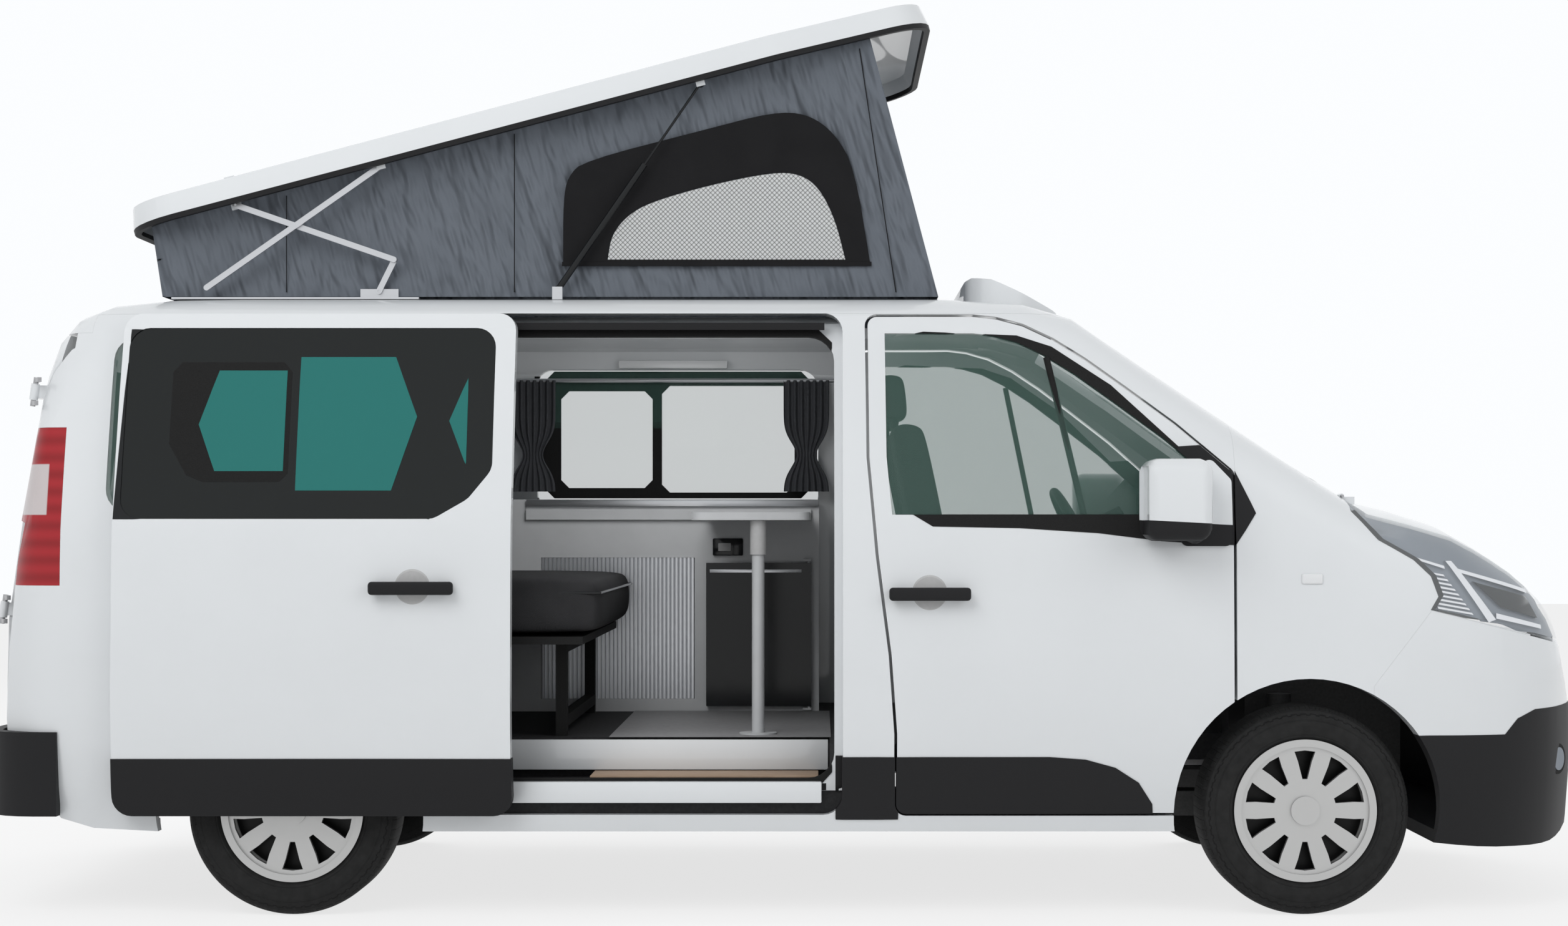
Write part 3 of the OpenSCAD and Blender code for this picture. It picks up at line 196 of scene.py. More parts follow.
# %% [markdown]
# ## Helpers that start from a CAD solid
# Trim that follows a curved panel could be modelled over again, but it would
# never fit as well as a piece that is cut out of the panel itself. So a copy of
# the solid is merged into a clean mesh, cut, fattened and given a look.

# %% Copies, Booleans and joins
MERGE_DISTANCE = 0.00002


def copy_of(node, name):
    """A merged copy of a CAD solid, which may be shaped further."""
    obj = frame["nodes"][node].copy()
    obj.data = obj.data.copy()
    obj.name = name
    obj.parent = None
    obj.hide_viewport = obj.hide_render = False
    for key in list(obj.keys()):
        if key.startswith("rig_"):
            del obj[key]
    scene.collection.objects.link(obj)
    obj.data.materials.clear()
    edit_all(obj)
    bpy.ops.mesh.remove_doubles(threshold=MERGE_DISTANCE)
    bpy.ops.object.mode_set(mode="OBJECT")
    bpy.ops.mesh.customdata_custom_splitnormals_clear()
    return obj


def boolean(obj, tool, operation):
    apply(obj, "BOOLEAN", object=tool, operation=operation, solver="EXACT")
    bpy.data.objects.remove(tool)
    return obj


def fatten(obj, amount):
    """Move every face outwards by an amount, or inwards where it is negative."""
    edit_all(obj)
    bpy.ops.transform.shrink_fatten(value=amount)
    bpy.ops.object.mode_set(mode="OBJECT")
    return obj


def join(name, objs):
    fresh()
    for obj in objs:
        obj.select_set(True)
    bpy.context.view_layer.objects.active = objs[0]
    if len(objs) > 1:
        bpy.ops.object.join()
    objs[0].name = name
    return objs[0]


def dress(obj, material, body="body"):
    """Give a piece its one material, and the body that it rides on."""
    obj.data.materials.clear()
    obj.data.materials.append(material)
    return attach(obj, body)


print("CAD helpers ready")

# %% [markdown]
# ## Shader maths that reads like maths
# Node trees get long when each sum is built by hand. A small class wraps a socket, so that plus,
# minus and times between two of them add the right Math node. One method adds any other node.

# %% A socket that can be added and multiplied
class Sock:
    def __init__(self, tree, socket):
        self.tree, self.socket = tree, socket

    def link(self, target, value):
        if isinstance(value, Sock):
            self.tree.links.new(value.socket, target)
        else:
            target.default_value = value

    def node(self, kind, out=0, settings=None, **inputs):
        """Add a node: its settings first, then its sockets, by name or as _0, _1 by place."""
        made = self.tree.nodes.new(kind)
        for key, value in (settings or {}).items():
            setattr(made, key, value)
        for key, value in inputs.items():
            self.link(made.inputs[int(key[1:]) if key[0] == "_" else key], value)
        return Sock(self.tree, made.outputs[out])

    def math(self, operation, *values):
        return self.node("ShaderNodeMath", settings={"operation": operation},
                         **{f"_{i}": value for i, value in enumerate(values)})

    def __add__(self, other):
        return self.math("ADD", self, other)

    def __radd__(self, other):
        return self.math("ADD", other, self)

    def __sub__(self, other):
        return self.math("SUBTRACT", self, other)

    def __rsub__(self, other):
        return self.math("SUBTRACT", other, self)

    def __mul__(self, other):
        return self.math("MULTIPLY", self, other)

    def __rmul__(self, other):
        return self.math("MULTIPLY", other, self)

    def __abs__(self):
        return self.math("ABSOLUTE", self)

    def sine(self):
        return self.math("SINE", self)

    def step(self, edge, width=0.002):
        """0 below the edge and 1 above it, soft over the width."""
        return self.node("ShaderNodeMapRange", settings={"interpolation_type": "SMOOTHSTEP"},
                         Value=self, _1=edge - width / 2, _2=edge + width / 2)

    def between(self, low, high, width=0.002):
        return self.step(low, width) * (1 - self.step(high, width))


print("shader maths ready")

# %% [markdown]
# ## One way to build a material
# Every finish here is a Principled shader with something that varies over the
# surface, since even clean paint is never one flat value. The varying part is a
# function of the position, read from Object coordinates.

# %% Material, noise and colour mixing
def material(name, color, rough, metal=0.0, coat=0.0, alpha=1.0, shine=0.5, detail=None):
    """A Principled material. detail(position, x, y, z) may return inputs that vary, or a bump."""
    mat = bpy.data.materials.new(name)
    mat.use_nodes = True
    tree = mat.node_tree
    shader = tree.nodes["Principled BSDF"]
    plain = {"Base Color": (*color, 1), "Roughness": rough, "Metallic": metal, "Coat Weight": coat,
             "Alpha": alpha, "Specular IOR Level": shine}
    for key, value in plain.items():
        shader.inputs[key].default_value = value
    mat.diffuse_color = (*color, alpha)
    if detail:
        coords = Sock(tree, tree.nodes.new("ShaderNodeTexCoord").outputs["Object"])
        parts = tree.nodes.new("ShaderNodeSeparateXYZ")
        tree.links.new(coords.socket, parts.inputs[0])
        x, y, z = (Sock(tree, socket) for socket in parts.outputs)
        for key, value in detail(coords, x, y, z).items():
            if key == "bump":
                height, strength, distance = value
                value = coords.node("ShaderNodeBump", Height=height, Strength=strength, Distance=distance)
                key = "Normal"
            coords.link(shader.inputs[key], value)
    return mat


def noise(position, scale, detail=3.0):
    return position.node("ShaderNodeTexNoise", Vector=position, Scale=scale, Detail=detail)


def mixed(factor, low, high):
    """A colour between two, each a socket or red, green and blue, by a factor from 0 to 1."""
    low, high = (end if isinstance(end, Sock) else (*end, 1) for end in (low, high))
    return factor.node("ShaderNodeMix", out=2, settings={"data_type": "RGBA"}, _0=factor, _6=low, _7=high)


def rough_by(base, amount, scale):
    """A roughness that wanders a little, as on a wiped surface."""
    return lambda position, x, y, z: {"Roughness": base + noise(position, scale) * amount}


def grain(scale, low, high, strength=0.15, distance=0.0005):
    """A fine grain in colour and bump, as on moulded plastic or cast metal."""
    def detail(position, x, y, z):
        speckle = noise(position, scale)
        return {"Base Color": mixed(speckle, low, high), "bump": (speckle, strength, distance)}
    return detail


def grey(value, blue=0.0):
    """A grey, with a little more blue where it is asked for."""
    return value, value, round(value + blue, 3)


print("material builder ready")

# %% [markdown]
# ## Paint, plastic and metal
# The van's paint is a clear coat over a pale, cool base. Bumpers and cladding are
# dull grained plastic, seals are rubber, and the underside is coarser still.
# Metals differ in how rough they are and how much of them is metal.

# %% Hard materials
def paint_detail(position, x, y, z):
    cloud = noise(position, 3.0, 2.0)
    return {"Base Color": mixed(cloud, (0.67, 0.69, 0.705), (0.71, 0.73, 0.745)),
            "Roughness": 0.27 + cloud * 0.06}


paint = material("paint_white", (0.69, 0.71, 0.725), 0.3, coat=0.7, detail=paint_detail)
black = material("trim_black", grey(0.02, 0.001), 0.55, shine=0.2,
                 detail=grain(700, grey(0.009, 0.001), grey(0.018, 0.001)))
gloss = material("gloss_black", (0.006, 0.007, 0.008), 0.12, shine=0.3, detail=rough_by(0.1, 0.06, 20.0))
seal = material("rubber_seal", grey(0.012), 0.7, shine=0.15, detail=grain(300, grey(0.008), grey(0.02)))
under = material("underseal", grey(0.03, 0.002), 0.8, shine=0.2,
                 detail=grain(90, grey(0.02, 0.001), grey(0.045, 0.002), 0.4, 0.002))
iron = material("cast_metal", grey(0.07, 0.002), 0.6, metal=0.6,
                detail=grain(120, grey(0.05), grey(0.1), 0.3, 0.001))
steel = material("steel", grey(0.42, 0.01), 0.35, metal=1.0,
                 detail=grain(160, grey(0.36, 0.01), grey(0.48, 0.01)))
alloy = material("alloy", (0.62, 0.63, 0.65), 0.32, metal=0.9, detail=rough_by(0.28, 0.1, 60.0))
chrome = material("chrome", (0.82, 0.83, 0.85), 0.08, metal=1.0, detail=rough_by(0.05, 0.06, 40.0))
board = material("unit_board", (0.52, 0.53, 0.54), 0.42,
                 detail=grain(14, (0.48, 0.49, 0.5), (0.55, 0.56, 0.57), 0.05))
floor_grey = material("floor_vinyl", grey(0.22, 0.005), 0.6,
                      detail=grain(60, grey(0.18, 0.005), grey(0.27, 0.005)))
inner = material("inner_lining", grey(0.45), 0.7, detail=grain(80, grey(0.42), grey(0.49)))
print("hard materials:", len(bpy.data.materials))

# %% [markdown]
# ## Glass and lamp lenses
# Real panes are clear sheets that darken what lies behind them. A refracting shader is slow and noisy, so
# these are smooth surfaces with an alpha: low for the cab, nearly closed for the tinted panes at the back.

# %% Glass, lenses and lamp bands
def glass(name, color, alpha):
    return material(name, color, 0.03, alpha=alpha, shine=0.3, detail=rough_by(0.02, 0.02, 2.0))


clear_glass = glass("glass_clear", (0.10, 0.19, 0.16), 0.25)
dark_glass = glass("glass_tinted", (0.006, 0.008, 0.008), 0.97)
green_glass = glass("glass_green", (0.012, 0.16, 0.145), 0.97)
lens_glass = glass("lens_clear", (0.75, 0.78, 0.8), 0.16)

BAND_LOW, BAND_HIGH, BAND_FRONT = 1.225, 1.38, -2.29
RIB_WAVES = 120


def lamp_bands(position, x, y, z):
    """Red ribs over the tail lamp, and a pale band towards its rear edge."""
    ribs = mixed((z * RIB_WAVES).sine() * 0.5 + 0.5, (0.26, 0.004, 0.008), (0.36, 0.01, 0.016))
    band = z.between(BAND_LOW, BAND_HIGH, 0.004) * (1 - x.step(BAND_FRONT, 0.004))
    return {"Base Color": mixed(band, ribs, (0.55, 0.5, 0.5))}


def lamp_clouds(position, x, y, z):
    return {"Base Color": mixed(noise(position, 4.0), (0.11, 0.135, 0.165), (0.24, 0.27, 0.31))}


red_lens = material("lens_red", (0.32, 0.008, 0.012), 0.12, shine=0.4, detail=lamp_bands)
lamp_grey = material("lamp_grey", (0.16, 0.19, 0.23), 0.3, detail=lamp_clouds)
lens_white = material("lens_white", (0.72, 0.73, 0.74), 0.2, coat=0.5, detail=rough_by(0.15, 0.12, 90.0))
print("with glass and lenses:", len(bpy.data.materials))

# %% [markdown]
# ## Cloth and wood
# Cloth is threads that pass over and under each other. Two crossed sine waves
# give that at any scale, without an image. The tent's cloth also has soft folds
# in its bump, and the step is a board with drawn-out grain.

# %% Tent, seat, curtain and step
def weave(pitch, low, high, strength=0.4):
    """Crossed threads at a pitch in metres, with clouds in the colour."""
    def detail(position, x, y, z):
        waves = 2 * math.pi / pitch
        across = ((x + y) * waves).sine()
        along = ((z + y * 0.3) * waves).sine()
        thread = across * along * 0.5 + 0.5
        color = mixed(thread * 0.5 + noise(position, 9.0) * 0.5, low, high)
        return {"Base Color": color, "bump": (thread, strength, pitch * 0.2)}
    return detail


def tent_folds(position, x, y, z):
    """The woven colour of tent cloth, with soft folds that run down the wall."""
    look = weave(0.004, (0.114, 0.129, 0.150), (0.156, 0.173, 0.199))(position, x, y, z)
    drawn_out = position.node("ShaderNodeCombineXYZ", X=x * 1.7 + z * 0.5, Y=y * 1.7, Z=z * 0.45)
    look["bump"] = (noise(drawn_out, 5.0, 3.0), 1.0, 0.16)
    return look


NET_WAVES = 420


def net_lines(position, x, y, z):
    """Two sets of slanting threads that cross over a pale ground."""
    rising, falling = (x + z) * NET_WAVES, (x - z) * NET_WAVES
    line = rising.sine().step(0.86, 0.1) + falling.sine().step(0.86, 0.1)
    return {"Base Color": mixed(line.math("MINIMUM", line, 1.0), (0.58, 0.59, 0.59), grey(0.10))}


def planks(position, x, y, z):
    fibres = noise(position.node("ShaderNodeCombineXYZ", X=x * 3, Y=y * 40, Z=z), 6.0)
    return {"Base Color": mixed(fibres, (0.24, 0.16, 0.11), (0.42, 0.31, 0.22)), "bump": (fibres, 0.2, 0.001)}


tent_cloth = material("tent_cloth", (0.13, 0.15, 0.185), 0.85, shine=0.2, detail=tent_folds)
seat_cloth = material("seat_cloth", grey(0.025, 0.002), 0.9, shine=0.1,
                      detail=weave(0.005, grey(0.016, 0.001), grey(0.045, 0.002)))
curtain_cloth = material("curtain_cloth", (0.06, 0.063, 0.07), 0.9,
                         detail=weave(0.003, (0.045, 0.048, 0.054), (0.085, 0.088, 0.095)))
net_cloth = material("net_cloth", grey(0.5), 0.8, detail=net_lines)
panel_cloth = material("panel_cloth", grey(0.012, 0.001), 0.85, shine=0.1,
                       detail=weave(0.003, grey(0.009, 0.001), grey(0.02, 0.001), 0.3))
tread_wood = material("tread_wood", (0.33, 0.24, 0.17), 0.6, detail=planks)
print("with cloth and wood:", len(bpy.data.materials))

# %% [markdown]
# ## Tyres and wheel covers
# A tyre's tread repeats round the hub. It could be hundreds of modelled blocks,
# but at this distance a bump does: the distance from the hub and the angle about
# it are worked out from the position, and all four wheels share them.

# %% Rubber and wheel silver
HUB_X, HUB_Z = 1.549, 0.32
TREAD_RADIUS, TREAD_BLOCKS = 0.293, 64
TYRE_MIDDLE, GROOVE_WAVES = 0.808, 190
COVER_FACE, COVER_RADIUS = 0.868, 0.19


def from_hub(x, z):
    """How far along the van and up a point lies from the nearest hub."""
    return abs(x) - HUB_X, z - HUB_Z


def distance(along, up):
    return along.math("SQRT", along * along + up * up)


def tread(position, x, y, z):
    """Grooves round the tyre, blocks across its edge and two fine rings on its wall."""
    along, up = from_hub(x, z)
    radius = distance(along, up)
    angle = along.math("ARCTAN2", up, along)
    blocks = (angle * TREAD_BLOCKS).sine().step(-0.35, 0.3)
    grooves = ((abs(y) - TYRE_MIDDLE) * GROOVE_WAVES).sine().step(-0.6, 0.3)
    edge = radius.step(TREAD_RADIUS, 0.004)
    height = edge * blocks * grooves + (1 - edge)
    rings = radius.between(0.232, 0.2345, 0.001) + radius.between(0.276, 0.279, 0.001)
    return {"Base Color": mixed(noise(position, 40.0), grey(0.012), grey(0.028)),
            "bump": (height + rings * 0.4, 0.9, 0.006)}


def cover(position, x, y, z):
    """Silver on the wheel cover; near black in its deep pockets, which is painted shade in the recess over
    the dark of the brake parts behind its windows.
    """
    radius = distance(*from_hub(x, z))
    # Painted shade: inside the cover's face and radius the colour turns near black, for the shade deep in the
    # pockets as well as the dark brake parts behind.
    deep = (1 - abs(y).step(COVER_FACE, 0.004)) * (1 - radius.step(COVER_RADIUS, 0.004))
    return {"Base Color": mixed(deep, (0.52, 0.52, 0.515), grey(0.012)),
            "Roughness": 0.32 + noise(position, 60.0) * 0.1}


wheel_silver = material("wheel_silver", (0.52, 0.52, 0.515), 0.35, metal=0.75, detail=cover)
tyre = material("tyre_rubber", grey(0.02), 0.75, shine=0.15, detail=tread)
print("all materials:", len(bpy.data.materials))

# %% [markdown]
# ## Panels
# Panels, doors and running gear keep their exact shape. A copy of each solid has its loose triangles
# merged, so that smooth shading by angle can work across them, and the copy then stands for the CAD solid.

# %% Dress the solids that keep their shape
DRESSED = {
    paint: """body_left body_right roof_frame front_wings bumper_front sliding_door
              front_door_right front_door_left rear_door_right rear_door_left bonnet roof_fairing pop_roof""",
    black: "cowl rear_bumper door_tracks pop_roof_rim dashboard",
    under: "underbody tank_exhaust",
    red_lens: "tail_lamps",
    clear_glass: "windscreen door_glass_right door_glass_left side_windows",
    dark_glass: "sliding_door_glass rear_glass_right rear_glass_left",
    steel: "door_hinges knuckle_left knuckle_right",
    iron: "engine_block axles",
    gloss: "fridge_door strut_cylinders strut_rods",
    seal: "bench_frame",
    board: "kitchen_unit table",
    alloy: "tambour_door roof_rails lift_arms lift_cross_arms lift_links",
    wheel_silver: "rim_front_left rim_front_right rim_rear_left rim_rear_right",
    tyre: "tyre_front_left tyre_front_right tyre_rear_left tyre_rear_right",
}
PANEL_ANGLE = 26
shown = {}
for look, names in DRESSED.items():
    for node in names.split():
        piece = smooth(copy_of(node, node + "_shown"), PANEL_ANGLE)
        dress(piece, look, body_of[node])
        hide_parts(node)
        shown[node] = piece
print("dressed", len(shown), "solids")

# %% [markdown]
# ## Black trim that follows the body
# Cladding and window surrounds lie on curved panels. Each one is cut out of a copy of its panel by a plate
# with the trim's outline, using a Boolean, and then fattened by a few millimetres so that it stands proud.

# %% Cladding, mirror feet and window surrounds
DEPTH = {"right": (-1.3, -0.6), "left": (0.6, 1.3), "through": (-1.3, 1.3)}
CLADDING_PROUD, FOOT_PROUD, FILM_PROUD = 0.004, 0.003, 0.0015
CLAD_LOW, CLAD_TOP = 0.30, 0.488


def clad(name, node, points, look, proud, side="right"):
    """A piece of trim, cut from the panel that it lies on."""
    piece = boolean(copy_of(node, name), plate(name + "_cut", points, *DEPTH[side]), "INTERSECT")
    smooth(fatten(piece, proud), 30)
    return dress(piece, look, body_of[node])


def both(name, node, points, look, proud):
    """The same trim on the right and on the left door."""
    return [clad(f"{name}_{side}", f"{node}_{side}", points, look, proud, side) for side in SIDES]


def rectangle(x0, x1, z0, z1):
    return [(x0, z0), (x1, z0), (x1, z1), (x0, z1)]


DOOR_CLADDING = [(0.25, CLAD_LOW), (1.075, CLAD_LOW), (1.072, 0.345), (1.03, 0.41), (0.96, 0.455),
                 (0.87, 0.48), (0.76, CLAD_TOP), (0.25, CLAD_TOP)]
SLIDE_SURROUND = [(-2.064, 1.212), (-1.113, 1.212), (-1.007, 1.275), (-0.949, 1.358), (-0.93, 1.72),
                  (-0.945, 1.772), (-0.985, 1.793), (-2.042, 1.793)]
MIRROR_FOOT = [(1.10, 1.146), (1.16, 1.432), (1.243, 1.437), (1.327, 1.361), (1.387, 1.23), (1.327, 1.134)]
DOOR_FRAME = [(0.284, 1.743), (0.313, 1.778), (0.384, 1.79), (0.671, 1.778), (0.778, 1.743), (0.957, 1.623),
              (1.16, 1.432), (1.10, 1.146), (0.909, 1.17), (0.671, 1.185), (0.408, 1.19), (0.34, 1.23)]
BUMPER_BLACK = [(1.5, 0.1), (2.6, 0.1), (2.6, 0.63), (2.27, 0.625), (2.205, 0.6), (2.16, 0.552), (1.5, 0.556)]
DOOR_SEAL = [(-1.03, 0.42), (-1.0, 0.395), (0.06, 0.395), (0.1, 0.44), (0.1, 1.76), (0.06, 1.80),
             (-1.03, 1.80)]
SLIDE_CLADDING = rectangle(-2.4, -0.4, CLAD_LOW, CLAD_TOP)
PILLAR_CLADDING = rectangle(0.115, 0.30, CLAD_LOW, CLAD_TOP)

trim = [clad("slide_cladding", "sliding_door", SLIDE_CLADDING, black, CLADDING_PROUD)]
trim += both("door_cladding", "front_door", DOOR_CLADDING, black, CLADDING_PROUD)
trim.append(clad("pillar_cladding", "body_right", PILLAR_CLADDING, black, CLADDING_PROUD))
trim.append(clad("slide_surround", "sliding_door", SLIDE_SURROUND, gloss, FILM_PROUD))
trim += both("mirror_foot", "front_door", MIRROR_FOOT, black, FOOT_PROUD)
trim += [clad(f"wing_foot_{side}", "front_wings", MIRROR_FOOT, black, FOOT_PROUD, side) for side in SIDES]
trim += both("door_frame", "front_door", DOOR_FRAME, seal, FILM_PROUD)
trim.append(clad("bumper_black", "bumper_front", BUMPER_BLACK, black, 0.002, "through"))
trim.append(clad("door_seal", "body_right", DOOR_SEAL, seal, FOOT_PROUD))
trim.append(clad("left_window_frame", "body_left", rectangle(-1.0, 0.03, 1.27, 1.75), black, 0.002, "left"))
print("trim pieces:", len(trim))

# %% [markdown]
# ## What shows in the sliding door's glass
# Through the tinted pane one sees the green of the windows behind it, in a dark frame. To trace that by
# refraction would be slow, so each patch is a thin piece cut from the pane itself, in its own colour.

# %% Panes seen through the dark glass of the sliding door
PANES = [[(-1.819, 1.499), (-1.765, 1.664), (-1.56, 1.664), (-1.56, 1.358), (-1.765, 1.358)],
         [(-1.518, 1.299), (-1.231, 1.299), (-1.16, 1.523), (-1.231, 1.706), (-1.518, 1.706)],
         [(-1.059, 1.51), (-1.007, 1.38), (-1.007, 1.64)]]
PANE_FRAME = [(-1.906, 1.66), (-1.88, 1.69), (-1.57, 1.69), (-1.545, 1.66), (-1.545, 1.35), (-1.57, 1.325),
              (-1.80, 1.325), (-1.85, 1.345), (-1.906, 1.44)]
clad("pane_frame", "sliding_door_glass", PANE_FRAME, seal, 0.0012)
panes = [clad(f"green_pane_{i}", "sliding_door_glass", points, green_glass, 0.002)
         for i, points in enumerate(PANES)]
print("panes:", len(panes))

# %% [markdown]
# ## Mirrors
# A mirror is a painted cap on a black foot. The CAD solid is the whole mirror, so it is shown
# in black, and the cap is cut from a copy of it by a slanting line and stands a little proud.

# %% Mirror feet and caps
for side in SIDES:
    node = "mirror_" + side
    foot = smooth(copy_of(node, node + "_shown"), 40)
    dress(foot, black, "front_door_" + side)
    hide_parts(node)
    low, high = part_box(node)
    behind, ahead, above = low[0] - 0.1, high[0] + 0.1, high[2] + 0.1
    cap = [(behind, low[2] + 0.085), (ahead, low[2] + 0.06), (ahead, above), (behind, above)]
    clad("mirror_cap_" + side, node, cap, paint, 0.002, side)
print("mirrors capped")

# %% [markdown]
# ## Handles and side repeaters
# A door handle is a grip on two feet over a shallow bowl. Where the panel lies
# under it isn't known beforehand, so a ray is cast at the panel from the side,
# and the fittings are set on the point that it hits.

# %% Set small fittings on the panels
RAY_START, FLANK = 3.0, 0.95


def surface(node, x, z, side=-1):
    """The outer face of a dressed panel, seen from the side, at x and z."""
    hit, place, normal, index = shown[node].ray_cast((x, RAY_START * side, z), (0, -side, 0))
    return place.y if hit else side * FLANK


def standing_off(y, side, start, end):
    """The lower and higher y of what stands from start to end outside a face at y."""
    return sorted((y + side * start, y + side * end))


def handle(name, node, x0, x1, z, side):
    """A grip on two feet, and the bowl behind it."""
    middle = (x0 + x1) / 2
    y = surface(node, middle, z, side)
    inside, outside = standing_off(y, side, 0.022, 0.046)
    parts = [block(name, (x0, inside, z - 0.02), (x1, outside, z + 0.02), 0.011, 4)]
    inside, outside = standing_off(y, side, -0.01, 0.03)
    for i, x in enumerate((x0 + 0.03, x1 - 0.03)):
        low, high = (x - 0.022, inside, z - 0.018), (x + 0.022, outside, z + 0.018)
        parts.append(block(f"{name}_{i}", low, high, 0.008))
    dress(join(name, parts), black, body_of[node])
    deep, flush = (middle, y - side * 0.004, z + 0.002), (middle, y + side * 0.0025, z + 0.002)
    dress(rod(name + "_recess", deep, flush, 0.058, 48, 0.05), inner, body_of[node])


handle("slide_handle", "sliding_door", -1.288, -1.033, 1.004, -1)
for tag, side in SIDES.items():
    handle("door_handle_" + tag, "front_door_" + tag, 0.274, 0.521, 0.985, side)

for tag, side in SIDES.items():
    y = surface("front_wings", 1.557, 1.03, side)
    repeater = block("side_repeater_" + tag, (1.525, y - 0.006, 1.014), (1.59, y + 0.006, 1.046), 0.005, 3)
    dress(repeater, lens_white)
print("handles and repeaters set")

# %% [markdown]
# ## Head lamps
# A head lamp is a clear cover over a dark housing with bright ribs in it. The lens is
# the CAD solid, made a little fatter. A shrunken copy is the housing, and between
# them lie strips cut from the lamp's own form, so that they follow its curve.

# %% Lens, housing, ribs and lines
lens = smooth(fatten(copy_of("headlamps", "headlamps_shown"), 0.0025), 40)
dress(lens, lens_glass)
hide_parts("headlamps")
housing = fatten(copy_of("headlamps", "lamp_housing"), -0.012)
dress(smooth(housing, 40), lamp_grey)


def lamp_part(name, outlines, depth, look):
    """Strips cut from the lamp's own form, a little below the lens, on both sides of the nose."""
    strips = []
    for i, points in enumerate(outlines):
        cutter = plate(f"{name}_cut_{i}", points, *DEPTH["through"])
        strips.append(boolean(copy_of("headlamps", f"{name}_{i}"), cutter, "INTERSECT"))
    return dress(smooth(fatten(join(name, strips), -depth), 30), look)


RIB_COUNT, RIB_HEIGHT = 9, 0.008
ribs = []
for i in range(RIB_COUNT):
    down = i / RIB_COUNT
    left, right, z = 1.885 + 0.062 * down, 1.962 + 0.10 * down, 1.058 - 0.125 * down
    drop = 0.18 * (right - left)
    ribs.append([(left, z), (right, z - drop),
                 (right + 0.005, z - drop - RIB_HEIGHT), (left + 0.003, z - RIB_HEIGHT)])
LINES = [[(1.82, 1.113), (1.965, 1.07), (1.967, 1.06), (1.845, 1.098)],
         [(1.97, 1.085), (1.99, 1.085), (2.13, 0.905), (2.105, 0.896)],
         [(2.005, 1.062), (2.26, 0.995), (2.262, 0.982), (2.015, 1.048)],
         [(2.13, 0.925), (2.30, 0.885), (2.30, 0.872), (2.13, 0.908)]]
EYE = [(2.055, 1.022), (2.25, 0.975), (2.29, 0.905), (2.15, 0.94)]
EDGE = [(1.690, 1.236), (1.764, 1.148), (1.868, 1.088), (1.921, 1.038), (1.944, 0.976), (1.920, 0.936)]
lamp_part("lamp_ribs", ribs, 0.001, chrome)
lamp_part("lamp_lines", LINES, 0.0005, chrome)
lamp_part("lamp_eye", [EYE], 0.002, dark_glass)
lamp_part("lamp_edge", [EDGE + [(x + 0.016, z + 0.004) for x, z in reversed(EDGE)]], 0.0, seal)
print("head lamps built")

# %% [markdown]
# ## Fog lamps
# The fog lamps sit in the rounded corners of the bumper and face obliquely outwards. A ray along
# that direction finds the bumper's face, and a tapered ring and a lamp are set into it there.

# %% Rings and lamps in the bumper
for tag, side in SIDES.items():
    out = Vector((0.75, 0.66 * side, 0))
    aim = Vector((2.24, 0.56 * side, 0.46))
    hit, at, normal, index = shown["bumper_front"].ray_cast(aim + out * 0.6, -out)
    dress(rod("fog_ring_" + tag, at - out * 0.05, at + out * 0.004, 0.054, 40, 0.048), seal)
    dress(rod("fog_lamp_" + tag, at - out * 0.04, at + out * 0.006, 0.040, 40, 0.036), lamp_grey)
print("fog lamps set at x", round(at.x, 3))

# %% [markdown]
# ## The tent
# The fabric wall is a grid of quads laid between the hatch and the raised roof. A cloth
# simulation could hang it, but a stretched wall has few folds, so its points are set in
# edit mode: the cloth bows in a little between its edges, and shallow folds run down it.

# %% Cloth walls between hatch and roof
TENT_LOW, TENT_HALF = 1.9155, 0.642
TENT_REAR, TENT_FRONT = (-2.012, TENT_LOW), (0.439, TENT_LOW)
TENT_REAR_TOP, TENT_FRONT_TOP = (-2.047, 2.146), (0.220, 2.744)
BOW, RIPPLE, CREASE = 0.014, 0.012, 0.005


def cloth_wall(name, corners, inward, cols, rows, folds):
    """A grid between four corners (two low ones, then the two above them), bowed and folded inward."""
    fresh()
    bpy.ops.mesh.primitive_grid_add(x_subdivisions=cols, y_subdivisions=rows, size=2)
    obj = bpy.context.object
    obj.name = name
    low_start, low_end, high_start, high_end = (Vector(corner) for corner in corners)

    def folded(point):
        u, v = point.x / 2 + 0.5, point.y / 2 + 0.5
        place = low_start.lerp(low_end, u).lerp(high_start.lerp(high_end, u), v)
        slack = math.sin(math.pi * v) * math.sin(math.pi * u) ** 0.5
        ripple = 0.5 + 0.5 * math.sin(folds * u * 2 * math.pi + 2.2 * math.sin(5 * u) + 1.3 * v)
        crease = 0.5 + 0.5 * math.sin(23 * u - 9 * v)
        return place + Vector(inward) * (BOW * slack + RIPPLE * ripple * slack + CREASE * crease * slack)

    return move_points(obj, folded)


def at_side(point, y):
    """A point of the side view, given its place across the van."""
    return point[0], y, point[1]


walls = []
for tag, side in SIDES.items():
    edges = [at_side(point, side * TENT_HALF)
             for point in (TENT_REAR, TENT_FRONT, TENT_REAR_TOP, TENT_FRONT_TOP)]
    walls.append(cloth_wall("tent_side_" + tag, edges, (0, -side, 0), 110, 36, 9))
for name, foot, top, inward, rows, folds in (("tent_front", TENT_FRONT, TENT_FRONT_TOP, (-1, 0, 0), 36, 5),
                                             ("tent_rear", TENT_REAR, TENT_REAR_TOP, (1, 0, 0), 14, 6)):
    edges = [at_side(point, y) for point in (foot, top) for y in (-TENT_HALF, TENT_HALF)]
    walls.append(cloth_wall(name, edges, inward, 60, rows, folds))
tent = join("tent_shown", walls)
edit_all(tent)
bpy.ops.mesh.remove_doubles(threshold=0.0005)
bpy.ops.mesh.normals_make_consistent(inside=False)
bpy.ops.object.mode_set(mode="OBJECT")
smooth(tent, 50)
dress(tent, tent_cloth)
